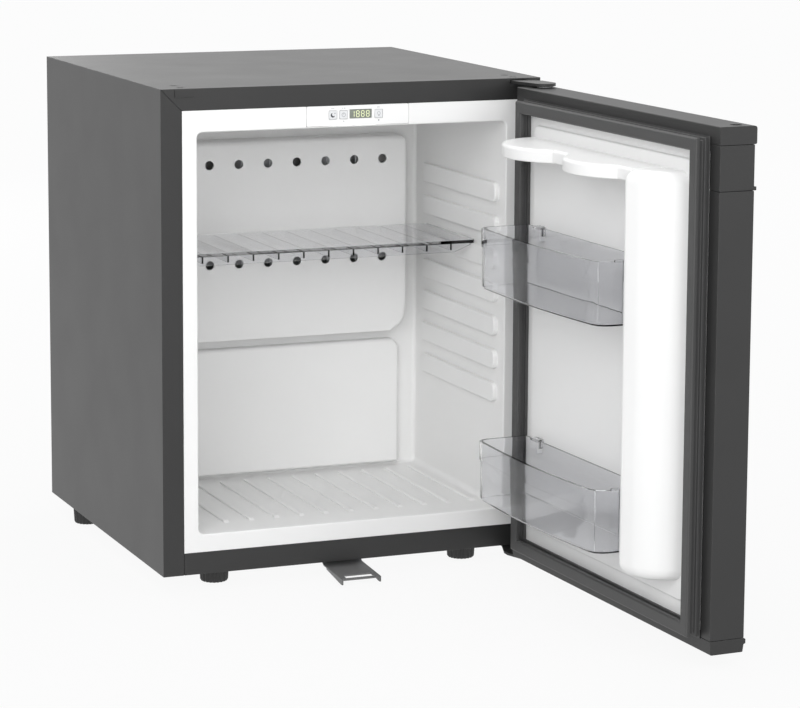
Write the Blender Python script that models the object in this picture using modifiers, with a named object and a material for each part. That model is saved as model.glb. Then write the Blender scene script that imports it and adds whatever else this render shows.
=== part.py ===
# Minibar fridge with its door open, as an assembly of separate pieces.
# Sizes are in millimetres and are turned into metres where a mesh is made.
# X runs from the left side to the right, Y from the front to the back and Z up from the underside.
# Door pieces are drawn shut and hang on an empty on the hinge axis, which turns them open.

import math

import bmesh
import bpy
from mathutils import Matrix, Vector

MM = 0.001

# Clearances, and how far a tool runs on past what it cuts
GAP = 0.3
SLIDE_GAP = 1.5
SCREW_GAP = 0.4
THROUGH = 5.0
WELD = 0.001

# Cabinet
WIDTH = 402.0
DEPTH = 400.0
HEIGHT = 482.0
SHEET = 0.8
FRAME = 21.5
RAIL = 22.0
RAIL_FOOT = 15.0
RAIL_LIP = 2.0
RETURN = 10.0
VENT_MARGIN = 78.0
VENT_PITCH = 35.0
VENT_WIDTH = 12.0
BAY_DEPTH = 101.0
BOX_BACK = DEPTH - BAY_DEPTH

# Control panel in the top of the frame
PANEL_SHIFT = 3.0
PANEL_WIDTH = 108.0
PANEL_HEIGHT = 19.8
PANEL_THICK = 2.0
PANEL_TOP = HEIGHT - FRAME - 0.1
PANEL_BOTTOM = PANEL_TOP - PANEL_HEIGHT
PANEL_MID = WIDTH / 2 + PANEL_SHIFT
PANEL_LEFT = PANEL_MID - PANEL_WIDTH / 2
PANEL_RIGHT = PANEL_MID + PANEL_WIDTH / 2
BODY_INSET = 7.0
BODY_WALL = 1.6
BODY_BACK = 26.0
BODY_BOTTOM = PANEL_BOTTOM + 1.6
BODY_TOP = PANEL_TOP - 2.0
KEY = 8.4
KEY_SHOULDER = 0.9
KEY_BACK = 3.4
KEY_TRAVEL = 1.0
KEY_Z = BODY_TOP - BODY_WALL - KEY_SHOULDER - KEY / 2 - SCREW_GAP
KEYS = {
    "button_night": PANEL_LEFT + 27.7,
    "button_set": PANEL_LEFT + 39.0,
    "button_light": PANEL_LEFT + 76.2,
}
WINDOW_LEFT = PANEL_LEFT + 45.5
WINDOW_RIGHT = WINDOW_LEFT + 23.0
WINDOW_LOW = KEY_Z - 3.7
WINDOW_HIGH = KEY_Z + 4.7
BOARD_FRONT = 8.0
BOARD_THICK = 1.6
LAMP_HALF = 24.0
LAMP_FRONT = 9.0
LAMP_BACK = 23.0

# Cold box. Its walls are as thick as the foam needs, and the ceiling clears the control panel
LINER = 1.2
FLANGE_FRONT = 0.2
CORNER = 6.0
SIDE_WALL = 37.0
FLOOR_WALL = 40.0
BACK_WALL = 63.0
IN_LEFT = SIDE_WALL
IN_RIGHT = WIDTH - SIDE_WALL
IN_FLOOR = FLOOR_WALL
IN_TOP = PANEL_BOTTOM - LINER - 0.4
IN_BACK = BOX_BACK - BACK_WALL

# Evaporator cover and what it hides
COVER_INSET = 21.0
COVER_DEPTH = 28.0
COVER_RISE = 152.0
COVER_DROP = 35.0
COVER_WALL = 1.8
COVER_SLOPE = 7.0
COVER_BEVEL = 8.0
COVER_LEFT = IN_LEFT + COVER_INSET
COVER_RIGHT = IN_RIGHT - COVER_INSET
COVER_FRONT = IN_BACK - COVER_DEPTH
COVER_BOTTOM = IN_FLOOR + COVER_RISE
COVER_BEND = COVER_BOTTOM + 30.0
COVER_TOP = IN_TOP - COVER_DROP
HOLE_R = 4.7
HOLE_PITCH = 32.4
HOLE_MARGIN = 29.0
HOLE_ROWS = (COVER_BOTTOM + 82.5, COVER_TOP - 24.0)
FIN_INSET = 30.0
FIN_PITCH = 24.2
FIN_PLATE = 2.0
FIN = 1.6
TROUGH_INSET = 26.0
TROUGH_WALL = 1.6
TROUGH_LOW = COVER_BOTTOM + 5.0
TROUGH_HIGH = TROUGH_LOW + 10.0
SPOUT_R = 4.0
SENSOR_X = COVER_RIGHT - 25.5
SENSOR_Z = COVER_BOTTOM + 60.0
SENSOR_HALF = 4.0
SENSOR_DEPTH = 6.3
LEAD_R = 1.5
PAD_INSET = 23.0
PAD_BELOW = 11.0
PAD_DEPTH = 10.0
PAD_CORNER = 12.0

# Shelf ledges on both side walls, and the shelf
LEDGE_FIRST = IN_FLOOR + 107.0
LEDGE_PITCH = 34.5
LEDGE_HEADROOM = 45.0
LEDGE_HEIGHT = 20.0
LEDGE_OUT = 5.0
LEDGE_FRONT = 16.0
LEDGE_BACK = COVER_FRONT - 3.0
RIB_PITCH = 27.0
FLOOR_RIB = 4.0
FLOOR_RIB_MARGIN = 15.0
FLOOR_RIB_FRONT = 36.0
FLOOR_RIB_STOP = 24.0
SHELF_LEDGE = 4
SHELF_FRONT = 70.0
SHELF_BACK = LEDGE_BACK - 2.0
SHELF_THICK = 3.6
SHELF_LIP = 12.0
SHELF_LIP_THICK = 2.4
SHELF_TAPER = 24.0
SHELF_RIB = 1.8
SHELF_RIB_MARGIN = 26.0

# Hinges
HINGE_IN = 13.0
HINGE_X = WIDTH - HINGE_IN
PIN_R = 3.0
PIN_LENGTH = 15.0
LOW_PIN = 11.8
BUSH_R = 5.0
BUSH_FLANGE_R = 7.0
BUSH_FLOOR = 1.5
PLATE = 3.0
PLATE_NOSE = 12.0
PLATE_Z = HEIGHT - 5.0
PLATE_END = 48.0
LOW_PLATE = 2.5
LOW_PLATE_DROP = 6.0
LOW_PLATE_END = 46.0
LOW_PLATE_WIDTH = 33.0
SLOT_IN = 24.4
SLOT_WIDTH = 18.2
SLOT_HEIGHT = 6.4
SLOT_LOW = HEIGHT - 7.8
PLUG_BACK = 6.0
PLUG_RIM = 0.8
SCREW_R = 1.7
SCREW_HEAD_R = 3.5
TOP_SCREW = 13.0
LOW_SCREW = 12.0
CROSS = 0.4
CROSS_REACH = 1.8
SCREW_Y = (13.0, 34.0)
LOW_SCREWS = ((WIDTH - 24.0, 22.0), (WIDTH - 11.0, 36.0))

# Door, drawn shut
DOOR_OPEN = 92.0
DOOR_GAP = 13.3
DOOR_THICK = 35.4
DOOR_INNER = -DOOR_GAP
DOOR_OUTER = -DOOR_GAP - DOOR_THICK
HINGE_Y = DOOR_OUTER + 12.3
DOOR_BOTTOM = -5.0
DOOR_TOP = PLATE_Z - 1.6
TOP_CAP_HEIGHT = 16.4
LOW_CAP_HEIGHT = 13.0
CAP_TOP_Z = DOOR_TOP - TOP_CAP_HEIGHT
CAP_LOW_Z = DOOR_BOTTOM + LOW_CAP_HEIGHT
CAP_OVERHANG = 2.0
DOOR_FOLD = 18.0
GRIP_WIDTH = 30.0
GRIP_HEIGHT = 41.4
GRIP_Z = CAP_TOP_Z - GRIP_HEIGHT
LINER_IN = DOOR_FOLD + GAP
LINER_BACK = DOOR_INNER - SHEET
LINER_FACE = LINER_BACK + LINER
PLATEAU_LEFT = 45.0
PLATEAU_RIGHT = WIDTH - 43.0
PLATEAU_LOW = 34.0
PLATEAU_HIGH = HEIGHT - 40.0
PLATEAU_FACE = LINER_FACE + 2.6
GASKET_IN = 21.0
GASKET_LOW = 8.0
GASKET_HIGH = HEIGHT - 18.0
GASKET_WIDE = 12.0
GASKET_BEAD = 2.8
GASKET_NECK = 2.6
GASKET_HEAD = 4.7
GASKET_SLOPE = 0.6

# Rounded post, hoods and their band on the door liner
FORM_WALL = 1.6
PILLAR_LEFT = 48.0
PILLAR_WIDTH = 52.0
PILLAR_RIGHT = PILLAR_LEFT + PILLAR_WIDTH
PILLAR_OUT = 43.5
PILLAR_LOW = 52.0
PILLAR_HIGH = HEIGHT - 52.0
PILLAR_SHAPE = ((1.0, 0.61), (0.97, 0.88), (0.885, 1.0), (0.69, 0.95), (0.35, 0.74), (0.15, 0.5),
                (0.04, 0.22))
HOOD_LEFT = PILLAR_RIGHT + 8.0
HOOD_RIGHT = WIDTH - 41.0
HOOD_GAP = 5.0
HOOD_OUT = 57.0
HOOD_LOW = HEIGHT - 65.0
HOOD_HIGH = HEIGHT - 52.0
BAND_LEFT = PILLAR_RIGHT - 5.0
BAND_RIGHT = HOOD_RIGHT - 24.0
BAND_OUT = 34.0

# Bins on the door
BIN_LEFT = PILLAR_RIGHT + 2.0
BIN_RIGHT = WIDTH - 50.0
BIN_BACK = PLATEAU_FACE + 6.7
BIN_DEPTH = 60.6
BIN_FRONT = BIN_BACK + BIN_DEPTH
BIN_WALL = 2.0
BIN_HEIGHT = 60.0
BIN_BAND = 18.5
BIN_BAND_OUT = 1.2
BIN_BOW = 5.0
BIN_DROP = 138.0
LOWER_BIN_TOP = 131.0
BIN_TOPS = {"upper_bin": HEIGHT - BIN_DROP, "lower_bin": LOWER_BIN_TOP}
HOOK_IN = 16.5
HOOK_X = (BIN_LEFT + HOOK_IN - 0.5, BIN_RIGHT - HOOK_IN - 0.5)
HOOK_WIDE = 16.0
HOOK_DROP = 8.9
HOOK_BRIDGE = 2.5
LUG_LIP = 2.0
LUG_STEM = 5.0

# Cooling unit in the rear bay
UNIT_OUT = 49.0
UNIT_Y = BOX_BACK + UNIT_OUT
PIPE_R = 6.0
PIPE_PITCH = 60.0
PIPE_RIGHT = WIDTH - 171.0
PIPE_LEFT = PIPE_RIGHT - PIPE_PITCH
PIPE_Z = COVER_BOTTOM + 108.0
PIPE_IN = COVER_FRONT + 16.0
PIPE_BEND = 18.0
DRAIN_X = (PIPE_LEFT + PIPE_RIGHT) / 2
DRAIN_Y = BOX_BACK + 13.0
DRAIN_END = 26.0
DRAIN_BEND = 14.0
BOILER_X = WIDTH - 64.0
BOILER_R = 28.0
BOILER_LOW = 95.0
BOILER_HIGH = HEIGHT - 97.0
VESSEL_R = 22.0
VESSEL_Z = 62.0
VESSEL_LEFT = 56.0
VESSEL_RIGHT = PIPE_RIGHT + 23.0
FEED_R = 8.0
CONDENSER_Z = HEIGHT - 44.0
CONDENSER_END = 96.0
CONDENSER_DROP = 42.0
CONDENSER_FALL = 4.0
CONDENSER_BEND = 20.0
CONDENSER_MARGIN = 36.0
CONDENSER_FIN = 1.2
CONDENSER_FIN_PITCH = 14.0
CONDENSER_FIN_REACH = 19.0
COIL_LEFT = 40.0
COIL_RIGHT = PIPE_RIGHT - 31.0
COIL_PITCH = 30.0
COIL_ROWS = 6
COIL_LOW = 108.0
COIL_BEND = 13.0
CABLE_R = 2.0
LEAD_OUT = 19.0
LEAD_DROP = 30.0
POWER_LEFT = PIPE_RIGHT + 13.0
POWER_WIDTH = 58.0
POWER_LOW = 110.0
POWER_HIGH = 210.0
POWER_BACK = BOX_BACK + 43.0
INLET_X = POWER_LEFT + POWER_WIDTH / 2
INLET_Z = POWER_HIGH - 32.0
INLET_DEPTH = 14.0
INLET_HALF_X = 12.0
INLET_HALF_Z = 8.5
INLET_RIM = 2.0
INLET_FLANGE = 20.0
BRACKET = 1.6
BRACKET_WIDTH = 32.0
BRACKET_WEB = 14.0
PAN_FRONT = BOX_BACK + 4.0
PAN_DEPTH = 19.0
PAN_HEIGHT = 18.9
PAN_WALL = 2.0

# Feet and lock tongue
FOOT_HEIGHT = 18.0
FOOT_R = 15.0
FOOT_RIBS = 20
FOOT_GROOVE = 1.1
STUD_R = 3.0
STUD_LENGTH = 14.0
FEET = {
    "foot_front_left": (66.0, 40.0),
    "foot_front_right": (WIDTH - 66.0, 40.0),
    "foot_rear_left": (18.0, BOX_BACK + 25.0),
    "foot_rear_right": (WIDTH - 18.0, BOX_BACK + 25.0),
}
TONGUE_WIDTH = 42.0
TONGUE_LEFT = WIDTH / 2 - 28.0
TONGUE_RIGHT = TONGUE_LEFT + TONGUE_WIDTH
TONGUE_FRONT = -40.0
TONGUE_THICK = 1.6
TONGUE_SCREWS = ((TONGUE_LEFT + 11.0, 36.0), (TONGUE_LEFT + 31.0, 36.0))


for old in list(bpy.data.objects):
    bpy.data.objects.remove(old, do_unlink=True)
for old in list(bpy.data.collections):
    bpy.data.collections.remove(old)

fridge = bpy.data.collections.new("minibar_fridge")
tools = bpy.data.collections.new("shaping_tools")
bpy.context.scene.collection.children.link(fridge)
bpy.context.scene.collection.children.link(tools)


# Building blocks


def link(obj, tool=False):
    (tools if tool else fridge).objects.link(obj)
    if tool:
        obj.hide_render = True
        obj.display_type = "WIRE"
    return obj


def lofted(name, sections, tool=False, ring=False):
    """Skins sections that have equally many points, with flat ends or closed into a ring."""
    count = len(sections[0])
    points = [Vector(p) * MM for section in sections for p in section]
    faces = []
    spans = len(sections) if ring else len(sections) - 1
    for s in range(spans):
        a = s * count
        b = (s + 1) % len(sections) * count
        for i in range(count):
            j = (i + 1) % count
            faces.append((a + i, a + j, b + j, b + i))
    if not ring:
        faces.append(tuple(reversed(range(count))))
        faces.append(tuple(range(len(points) - count, len(points))))
    mesh = bpy.data.meshes.new(name)
    mesh.from_pydata(points, [], faces)
    work = bmesh.new()
    work.from_mesh(mesh)
    bmesh.ops.recalc_face_normals(work, faces=work.faces)
    work.to_mesh(mesh)
    work.free()
    return link(bpy.data.objects.new(name, mesh), tool)


def shaped(name, drawn, turn, tool):
    """Takes the mesh of a drawn curve or profile, turned to its place, welded and facing out."""
    fridge.objects.link(drawn)
    bpy.context.view_layer.update()
    graph = bpy.context.evaluated_depsgraph_get()
    mesh = bpy.data.meshes.new_from_object(drawn.evaluated_get(graph))
    bpy.data.objects.remove(drawn, do_unlink=True)
    work = bmesh.new()
    work.from_mesh(mesh)
    bmesh.ops.transform(work, matrix=turn, verts=work.verts)
    bmesh.ops.remove_doubles(work, verts=work.verts, dist=WELD * MM)
    bmesh.ops.recalc_face_normals(work, faces=work.faces)
    work.to_mesh(mesh)
    work.free()
    mesh.name = name
    return link(bpy.data.objects.new(name, mesh), tool)


def onto_axis(axis, place):
    """Turns a drawing on the ground so that it faces along an axis, and moves it to a place."""
    turn = {
        "z": Matrix.Identity(4),
        "x": Matrix(((0, 0, 1, 0), (1, 0, 0, 0), (0, 1, 0, 0), (0, 0, 0, 1))),
        "y": Matrix(((1, 0, 0, 0), (0, 0, 1, 0), (0, 1, 0, 0), (0, 0, 0, 1))),
    }[axis]
    return Matrix.Translation(Vector(place) * MM) @ turn


def along(axis, height):
    return {"x": (height, 0, 0), "y": (0, height, 0), "z": (0, 0, height)}[axis]


def prism(name, outline, axis, start, end, tool=False, holes=()):
    """A flat outline with any holes, drawn as a filled 2D curve, extruded along an axis."""
    curve = bpy.data.curves.new(name, "CURVE")
    curve.dimensions = "2D"
    curve.fill_mode = "BOTH"
    curve.extrude = (end - start) * MM / 2
    for line in (outline, *holes):
        spline = curve.splines.new("POLY")
        spline.points.add(len(line) - 1)
        for point, (u, v) in zip(spline.points, line):
            point.co = (u * MM, v * MM, 0, 1)
        spline.use_cyclic_u = True
    drawn = bpy.data.objects.new(name + "_outline", curve)
    return shaped(name, drawn, onto_axis(axis, along(axis, (start + end) / 2)), tool)


def tube(name, points, radius, tool=False):
    """A round tube along a route, with flat filled ends."""
    curve = bpy.data.curves.new(name, "CURVE")
    curve.dimensions = "3D"
    curve.bevel_depth = radius * MM
    curve.bevel_resolution = 2
    curve.use_fill_caps = True
    spline = curve.splines.new("POLY")
    spline.points.add(len(points) - 1)
    for point, place in zip(spline.points, points):
        point.co = (*(Vector(place) * MM), 1)
    drawn = bpy.data.objects.new(name + "_route", curve)
    return shaped(name, drawn, Matrix.Identity(4), tool)


def turned(name, profile, centre, axis="z", steps=24, tool=False):
    """Pairs of radius and height from the top down, spun about an axis through the centre."""
    rims = list(profile)
    if rims[0][0] > 0:
        rims.insert(0, (0.0, rims[0][1]))
    if rims[-1][0] > 0:
        rims.append((0.0, rims[-1][1]))
    mesh = bpy.data.meshes.new(name)
    edges = [(n, n + 1) for n in range(len(rims) - 1)]
    mesh.from_pydata([(radius * MM, 0, height * MM) for radius, height in rims], edges, [])
    drawn = bpy.data.objects.new(name + "_profile", mesh)
    spin = drawn.modifiers.new("spin", "SCREW")
    spin.axis = "Z"
    spin.steps = steps
    spin.render_steps = steps
    spin.use_merge_vertices = True
    spin.merge_threshold = WELD * MM
    return shaped(name, drawn, onto_axis(axis, centre), tool)


def box(name, x0, x1, y0, y1, z0, z1, tool=False):
    work = bmesh.new()
    bmesh.ops.create_cube(work, size=1)
    size = Matrix.Diagonal(((x1 - x0) * MM, (y1 - y0) * MM, (z1 - z0) * MM, 1))
    place = Matrix.Translation(Vector((x0 + x1, y0 + y1, z0 + z1)) * MM / 2)
    bmesh.ops.transform(work, matrix=place @ size, verts=work.verts)
    mesh = bpy.data.meshes.new(name)
    work.to_mesh(mesh)
    work.free()
    return link(bpy.data.objects.new(name, mesh), tool)


def rod(name, x, y, z0, z1, radius, steps=16):
    """An upright round tool, for a hole or a pin."""
    return turned(name, [(radius, z1), (radius, z0)], (x, y, 0), "z", steps, tool=True)


def bore(name, x, z, y0, y1, radius, steps=16):
    """A round tool that runs front to back."""
    return turned(name, [(radius, y1), (radius, y0)], (x, 0, z), "y", steps, tool=True)


def rounded(corners, radius, steps=4):
    """Corners with each one rounded. A radius may be given per corner."""
    radii = radius if isinstance(radius, (list, tuple)) else [radius] * len(corners)
    out = []
    for i, corner in enumerate(corners):
        here = Vector(corner)
        before = (Vector(corners[i - 1]) - here).normalized()
        after = (Vector(corners[(i + 1) % len(corners)]) - here).normalized()
        r = radii[i]
        if r <= 0:
            out.append(tuple(here))
            continue
        half = before.angle(after) / 2
        middle = here + (before + after).normalized() * (r / math.sin(half))
        first = here + before * (r / math.tan(half)) - middle
        last = here + after * (r / math.tan(half)) - middle
        sweep = first.angle_signed(last)
        for s in range(steps + 1):
            turn = -sweep * s / steps
            c, n = math.cos(turn), math.sin(turn)
            out.append((middle.x + c * first.x - n * first.y, middle.y + n * first.x + c * first.y))
    return out


def rectangle(u0, u1, v0, v1, radius=0.0, steps=4):
    corners = [(u0, v0), (u1, v0), (u1, v1), (u0, v1)]
    return rounded(corners, radius, steps) if radius else corners


def grown(outline, amount):
    """The outline, drawn counter-clockwise, moved outwards by an amount."""
    out = []
    for i, corner in enumerate(outline):
        here = Vector(corner)
        before = (here - Vector(outline[i - 1])).normalized()
        after = (Vector(outline[(i + 1) % len(outline)]) - here).normalized()
        n1 = Vector((before.y, -before.x))
        n2 = Vector((after.y, -after.x))
        mitre = (n1 + n2) / max(1 + n1.dot(n2), 0.3)
        out.append(tuple(here + mitre * amount))
    return out


def arc(x, y, radius, start, end, steps):
    turn = [math.radians(start + (end - start) * n / steps) for n in range(steps + 1)]
    return [(x + radius * math.cos(a), y + radius * math.sin(a)) for a in turn]


def route(points, bend, steps=4):
    """Corner points in space with each inner corner bent to a radius."""
    out = [Vector(points[0])]
    for a, b, c in zip(points, points[1:], points[2:]):
        here = Vector(b)
        before = Vector(a) - here
        after = Vector(c) - here
        half = before.angle(after) / 2
        cut = min(bend / math.tan(half), before.length * 0.49, after.length * 0.49)
        r = cut * math.tan(half)
        before.normalize()
        after.normalize()
        middle = here + (before + after).normalized() * (r / math.sin(half))
        first = here + before * cut - middle
        last = here + after * cut - middle
        sweep = first.angle(last)
        for s in range(steps + 1):
            part = s / steps
            near, far = math.sin((1 - part) * sweep), math.sin(part * sweep)
            out.append(middle + (first * near + last * far) / math.sin(sweep))
    out.append(Vector(points[-1]))
    return out


def in_row(middle, room, pitch):
    """As many places as fit a room at a pitch, spread about a middle."""
    count = int(room / pitch) + 1
    return [middle + (n - (count - 1) / 2) * pitch for n in range(count)]


def combine(obj, others, operation):
    for n, other in enumerate(others):
        change = obj.modifiers.new(f"{operation.lower()}_{n + 1}", "BOOLEAN")
        change.operation = operation
        change.solver = "EXACT"
        change.object = other
        other.parent = obj
    return obj


def join(obj, *others):
    return combine(obj, others, "UNION")


def cut(obj, *others):
    return combine(obj, others, "DIFFERENCE")


def keep(obj, *others):
    return combine(obj, others, "INTERSECT")


materials = {}


def material(name, colour, roughness, metallic=0.0, alpha=1.0):
    made = bpy.data.materials.new(name)
    made.use_nodes = True
    shader = made.node_tree.nodes["Principled BSDF"]
    shader.inputs["Base Color"].default_value = (*colour, 1)
    shader.inputs["Roughness"].default_value = roughness
    shader.inputs["Metallic"].default_value = metallic
    shader.inputs["Alpha"].default_value = alpha
    made.diffuse_color = (*colour, alpha)
    materials[name] = made


material("painted_steel", (0.045, 0.045, 0.047), 0.42, 0.0)
material("plated_steel", (0.50, 0.50, 0.51), 0.35, 1.0)
material("white_plastic", (0.83, 0.84, 0.84), 0.38)
material("black_plastic", (0.030, 0.030, 0.032), 0.5)
material("rubber", (0.018, 0.018, 0.020), 0.7)
material("foam", (0.78, 0.68, 0.42), 0.95)
material("clear_plastic", (0.70, 0.74, 0.78), 0.12, 0.0, 0.35)
material("grey_plastic", (0.62, 0.63, 0.64), 0.45)
material("aluminium", (0.72, 0.73, 0.74), 0.32, 1.0)
material("enamelled_tube", (0.035, 0.035, 0.036), 0.55)
material("galvanised", (0.52, 0.54, 0.55), 0.42, 1.0)
material("circuit_board", (0.03, 0.16, 0.07), 0.5)
material("lens", (0.86, 0.90, 0.92), 0.25, 0.0, 0.5)
material("cable", (0.025, 0.025, 0.028), 0.6)


def finish(obj, name, parent=None, smooth=False):
    """Gives a piece its material, its place in the tree and its shading."""
    obj.data.materials.clear()
    obj.data.materials.append(materials[name])
    for polygon in obj.data.polygons:
        polygon.use_smooth = smooth
    if parent is not None:
        obj.parent = parent
        obj.location = -Vector(parent["drawn_at"]) * MM
    return obj


def empty(name, place, parent=None):
    """An empty at a place in the drawing, which pieces hang on."""
    made = bpy.data.objects.new(name, None)
    fridge.objects.link(made)
    made["drawn_at"] = place
    made.parent = parent
    origin = Vector(parent["drawn_at"]) if parent else Vector((0, 0, 0))
    made.location = (Vector(place) - origin) * MM
    return made


root = empty("fridge_root", (0, 0, 0))
door_axis = empty("door_axis", (HINGE_X, HINGE_Y, 0), root)


# Sheet steel wrap, base and front rail


def side_panel(name, side):
    def across(x):
        return x if side < 0 else WIDTH - x

    def span(a, b):
        return sorted((across(a), across(b)))

    sheet = box(name, *span(0, SHEET), 0, DEPTH, 0, HEIGHT)
    top = HEIGHT - FRAME - GAP
    corners = [(SHEET / 2, 0), (FRAME, 0), (FRAME, top), (SHEET / 2, top + FRAME - SHEET / 2)]
    post = prism(name + "_post", [(across(x), z) for x, z in corners], "y", 0, SHEET, tool=True)
    fold = box(name + "_fold", *span(SHEET / 2, RETURN), DEPTH - SHEET, DEPTH, 0,
               HEIGHT - SHEET - GAP, tool=True)
    return finish(join(sheet, post, fold), "painted_steel", root)


side_panel("left_side_panel", -1)
side_panel("right_side_panel", 1)


def countersink(name, x, y, spare):
    """A tool for a countersunk screw in the top, wider than the screw by a spare width."""
    head = SCREW_HEAD_R + spare
    shank = SCREW_R + spare
    sunk = HEIGHT - (SCREW_HEAD_R - SCREW_R)
    end = HEIGHT - TOP_SCREW - 3
    profile = [(head + THROUGH, HEIGHT + THROUGH), (head, HEIGHT), (shank, sunk), (shank, end)]
    return turned(name, profile, (x, y, 0), "z", 16, tool=True)


inner_x = (SHEET + GAP, WIDTH - SHEET - GAP)
top_panel = box("top_panel", *inner_x, 0, DEPTH, HEIGHT - SHEET, HEIGHT)
mitre_low = HEIGHT - FRAME + GAP
band = [(inner_x[0], HEIGHT - SHEET / 2), (inner_x[0], HEIGHT - SHEET - GAP / 2),
        (FRAME, mitre_low), (WIDTH - FRAME, mitre_low),
        (inner_x[1], HEIGHT - SHEET - GAP / 2), (inner_x[1], HEIGHT - SHEET / 2)]
join(
    top_panel,
    prism("top_band", band, "y", 0, SHEET, tool=True),
    box("top_fold", RETURN + GAP, WIDTH - RETURN - GAP, DEPTH - SHEET, DEPTH,
        HEIGHT - RETURN, HEIGHT - SHEET / 2, tool=True),
)
slot_mid = WIDTH - SLOT_IN
slot_x = (slot_mid - SLOT_WIDTH / 2, slot_mid + SLOT_WIDTH / 2)
left_slot_x = (WIDTH - slot_x[1], WIDTH - slot_x[0])
slot_z = (SLOT_LOW, SLOT_LOW + SLOT_HEIGHT)
hinge_screws = [(x, y) for x in (SLOT_IN, slot_mid) for y in SCREW_Y]
top_cuts = [
    box("top_slot_right", *slot_x, -THROUGH, THROUGH, *slot_z, tool=True),
    box("top_slot_left", *left_slot_x, -THROUGH, THROUGH, *slot_z, tool=True),
]
for n, (x, y) in enumerate(hinge_screws):
    top_cuts.append(countersink(f"top_screw_hole_{n + 1}", x, y, GAP))
cut(top_panel, *top_cuts)
finish(top_panel, "painted_steel", root)

base_panel = box("base_panel", *inner_x, SHEET + GAP, DEPTH - SHEET - GAP, 0, SHEET)
base_cuts = [rod(f"{name}_hole", x, y, -THROUGH, THROUGH, STUD_R + GAP) for name, (x, y) in FEET.items()]
for n, (x, y) in enumerate(LOW_SCREWS + TONGUE_SCREWS):
    base_cuts.append(rod(f"base_screw_hole_{n + 1}", x, y, -THROUGH, THROUGH, SCREW_R + SCREW_GAP))
for n, x in enumerate(in_row(WIDTH / 2, WIDTH - 2 * VENT_MARGIN, VENT_PITCH)):
    base_cuts.append(box(f"base_vent_{n + 1}", x - VENT_WIDTH / 2, x + VENT_WIDTH / 2, BOX_BACK + 31,
                         DEPTH - 20, -THROUGH, THROUGH, tool=True))
cut(base_panel, *base_cuts)
finish(base_panel, "galvanised", root)

rail_x = (FRAME + GAP, WIDTH - FRAME - GAP)
rail = box("front_bottom_rail", *rail_x, 0, SHEET, 0, RAIL)
join(
    rail,
    box("rail_foot", *rail_x, SHEET / 2, RAIL_FOOT, SHEET + GAP, 2 * SHEET + GAP, tool=True),
    box("rail_lip", *rail_x, SHEET / 2, RAIL_LIP, RAIL - SHEET, RAIL, tool=True),
)
finish(rail, "painted_steel", root)


# Routes of the pipe, the drain and the leads, which several pieces make room for

body_mid = (BODY_BOTTOM + BODY_TOP) / 2
lead_y = BOX_BACK + LEAD_OUT
lead_x = PANEL_RIGHT - 12
power_right = POWER_LEFT + POWER_WIDTH
power_top = POWER_HIGH + GAP
pipe_path = route(
    [(CONDENSER_END, UNIT_Y, CONDENSER_Z - CONDENSER_DROP), (CONDENSER_END, UNIT_Y, PIPE_Z),
     (PIPE_LEFT, UNIT_Y, PIPE_Z), (PIPE_LEFT, PIPE_IN, PIPE_Z), (PIPE_RIGHT, PIPE_IN, PIPE_Z),
     (PIPE_RIGHT, UNIT_Y, PIPE_Z), (PIPE_RIGHT, UNIT_Y, VESSEL_Z + VESSEL_R + GAP)],
    PIPE_BEND,
)
drain_path = route(
    [(DRAIN_X, IN_BACK - LINER, TROUGH_LOW + 6), (DRAIN_X, DRAIN_Y, TROUGH_LOW + 3),
     (DRAIN_X, DRAIN_Y, DRAIN_END)],
    DRAIN_BEND,
)
lead_path = route(
    [(lead_x, BODY_BACK + SCREW_GAP, body_mid), (lead_x, lead_y, body_mid),
     (INLET_X, lead_y, body_mid - LEAD_DROP), (INLET_X, lead_y, power_top)],
    16,
)
sensor_path = route(
    [(SENSOR_X, IN_BACK - 1, SENSOR_Z), (SENSOR_X, lead_y - 8, SENSOR_Z),
     (power_right - 12, lead_y - 6, SENSOR_Z - 12), (power_right - 12, lead_y, power_top)],
    8,
)


# Cold box: liner, insulation and back plate

wall_out = (IN_LEFT - LINER, IN_RIGHT + LINER, IN_FLOOR - LINER, IN_TOP + LINER)
flange = (FRAME + GAP, WIDTH - FRAME - GAP, RAIL + GAP, PANEL_TOP)
flange_back = FLANGE_FRONT + LINER
lamp_x = (PANEL_MID - LAMP_HALF, PANEL_MID + LAMP_HALF)
liner = prism("inner_liner", rectangle(*wall_out, CORNER + LINER), "y", flange_back / 2, IN_BACK + LINER)
join(liner, box("liner_flange", flange[0], flange[1], FLANGE_FRONT, flange_back, flange[2], flange[3],
                tool=True))
cut(
    liner,
    prism("liner_inside", rectangle(IN_LEFT, IN_RIGHT, IN_FLOOR, IN_TOP, CORNER), "y", -THROUGH, IN_BACK,
          tool=True),
    box("panel_rebate", PANEL_LEFT - GAP, PANEL_RIGHT + GAP, -THROUGH, THROUGH, PANEL_BOTTOM - GAP,
        HEIGHT, tool=True),
    box("lamp_window", *lamp_x, LAMP_FRONT, LAMP_BACK, IN_TOP - THROUGH, IN_TOP + THROUGH, tool=True),
    tube("liner_pipe_holes", pipe_path, PIPE_R + GAP, tool=True),
    tube("liner_drain_hole", drain_path, SPOUT_R + GAP, tool=True),
    bore("liner_sensor_hole", SENSOR_X, SENSOR_Z, IN_BACK - THROUGH, IN_BACK + THROUGH, LEAD_R + 2 * GAP),
)
raised = []
ledge_room = IN_TOP - LEDGE_HEADROOM - LEDGE_HEIGHT - LEDGE_FIRST
ledge_count = int(ledge_room / LEDGE_PITCH) + 1
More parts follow.
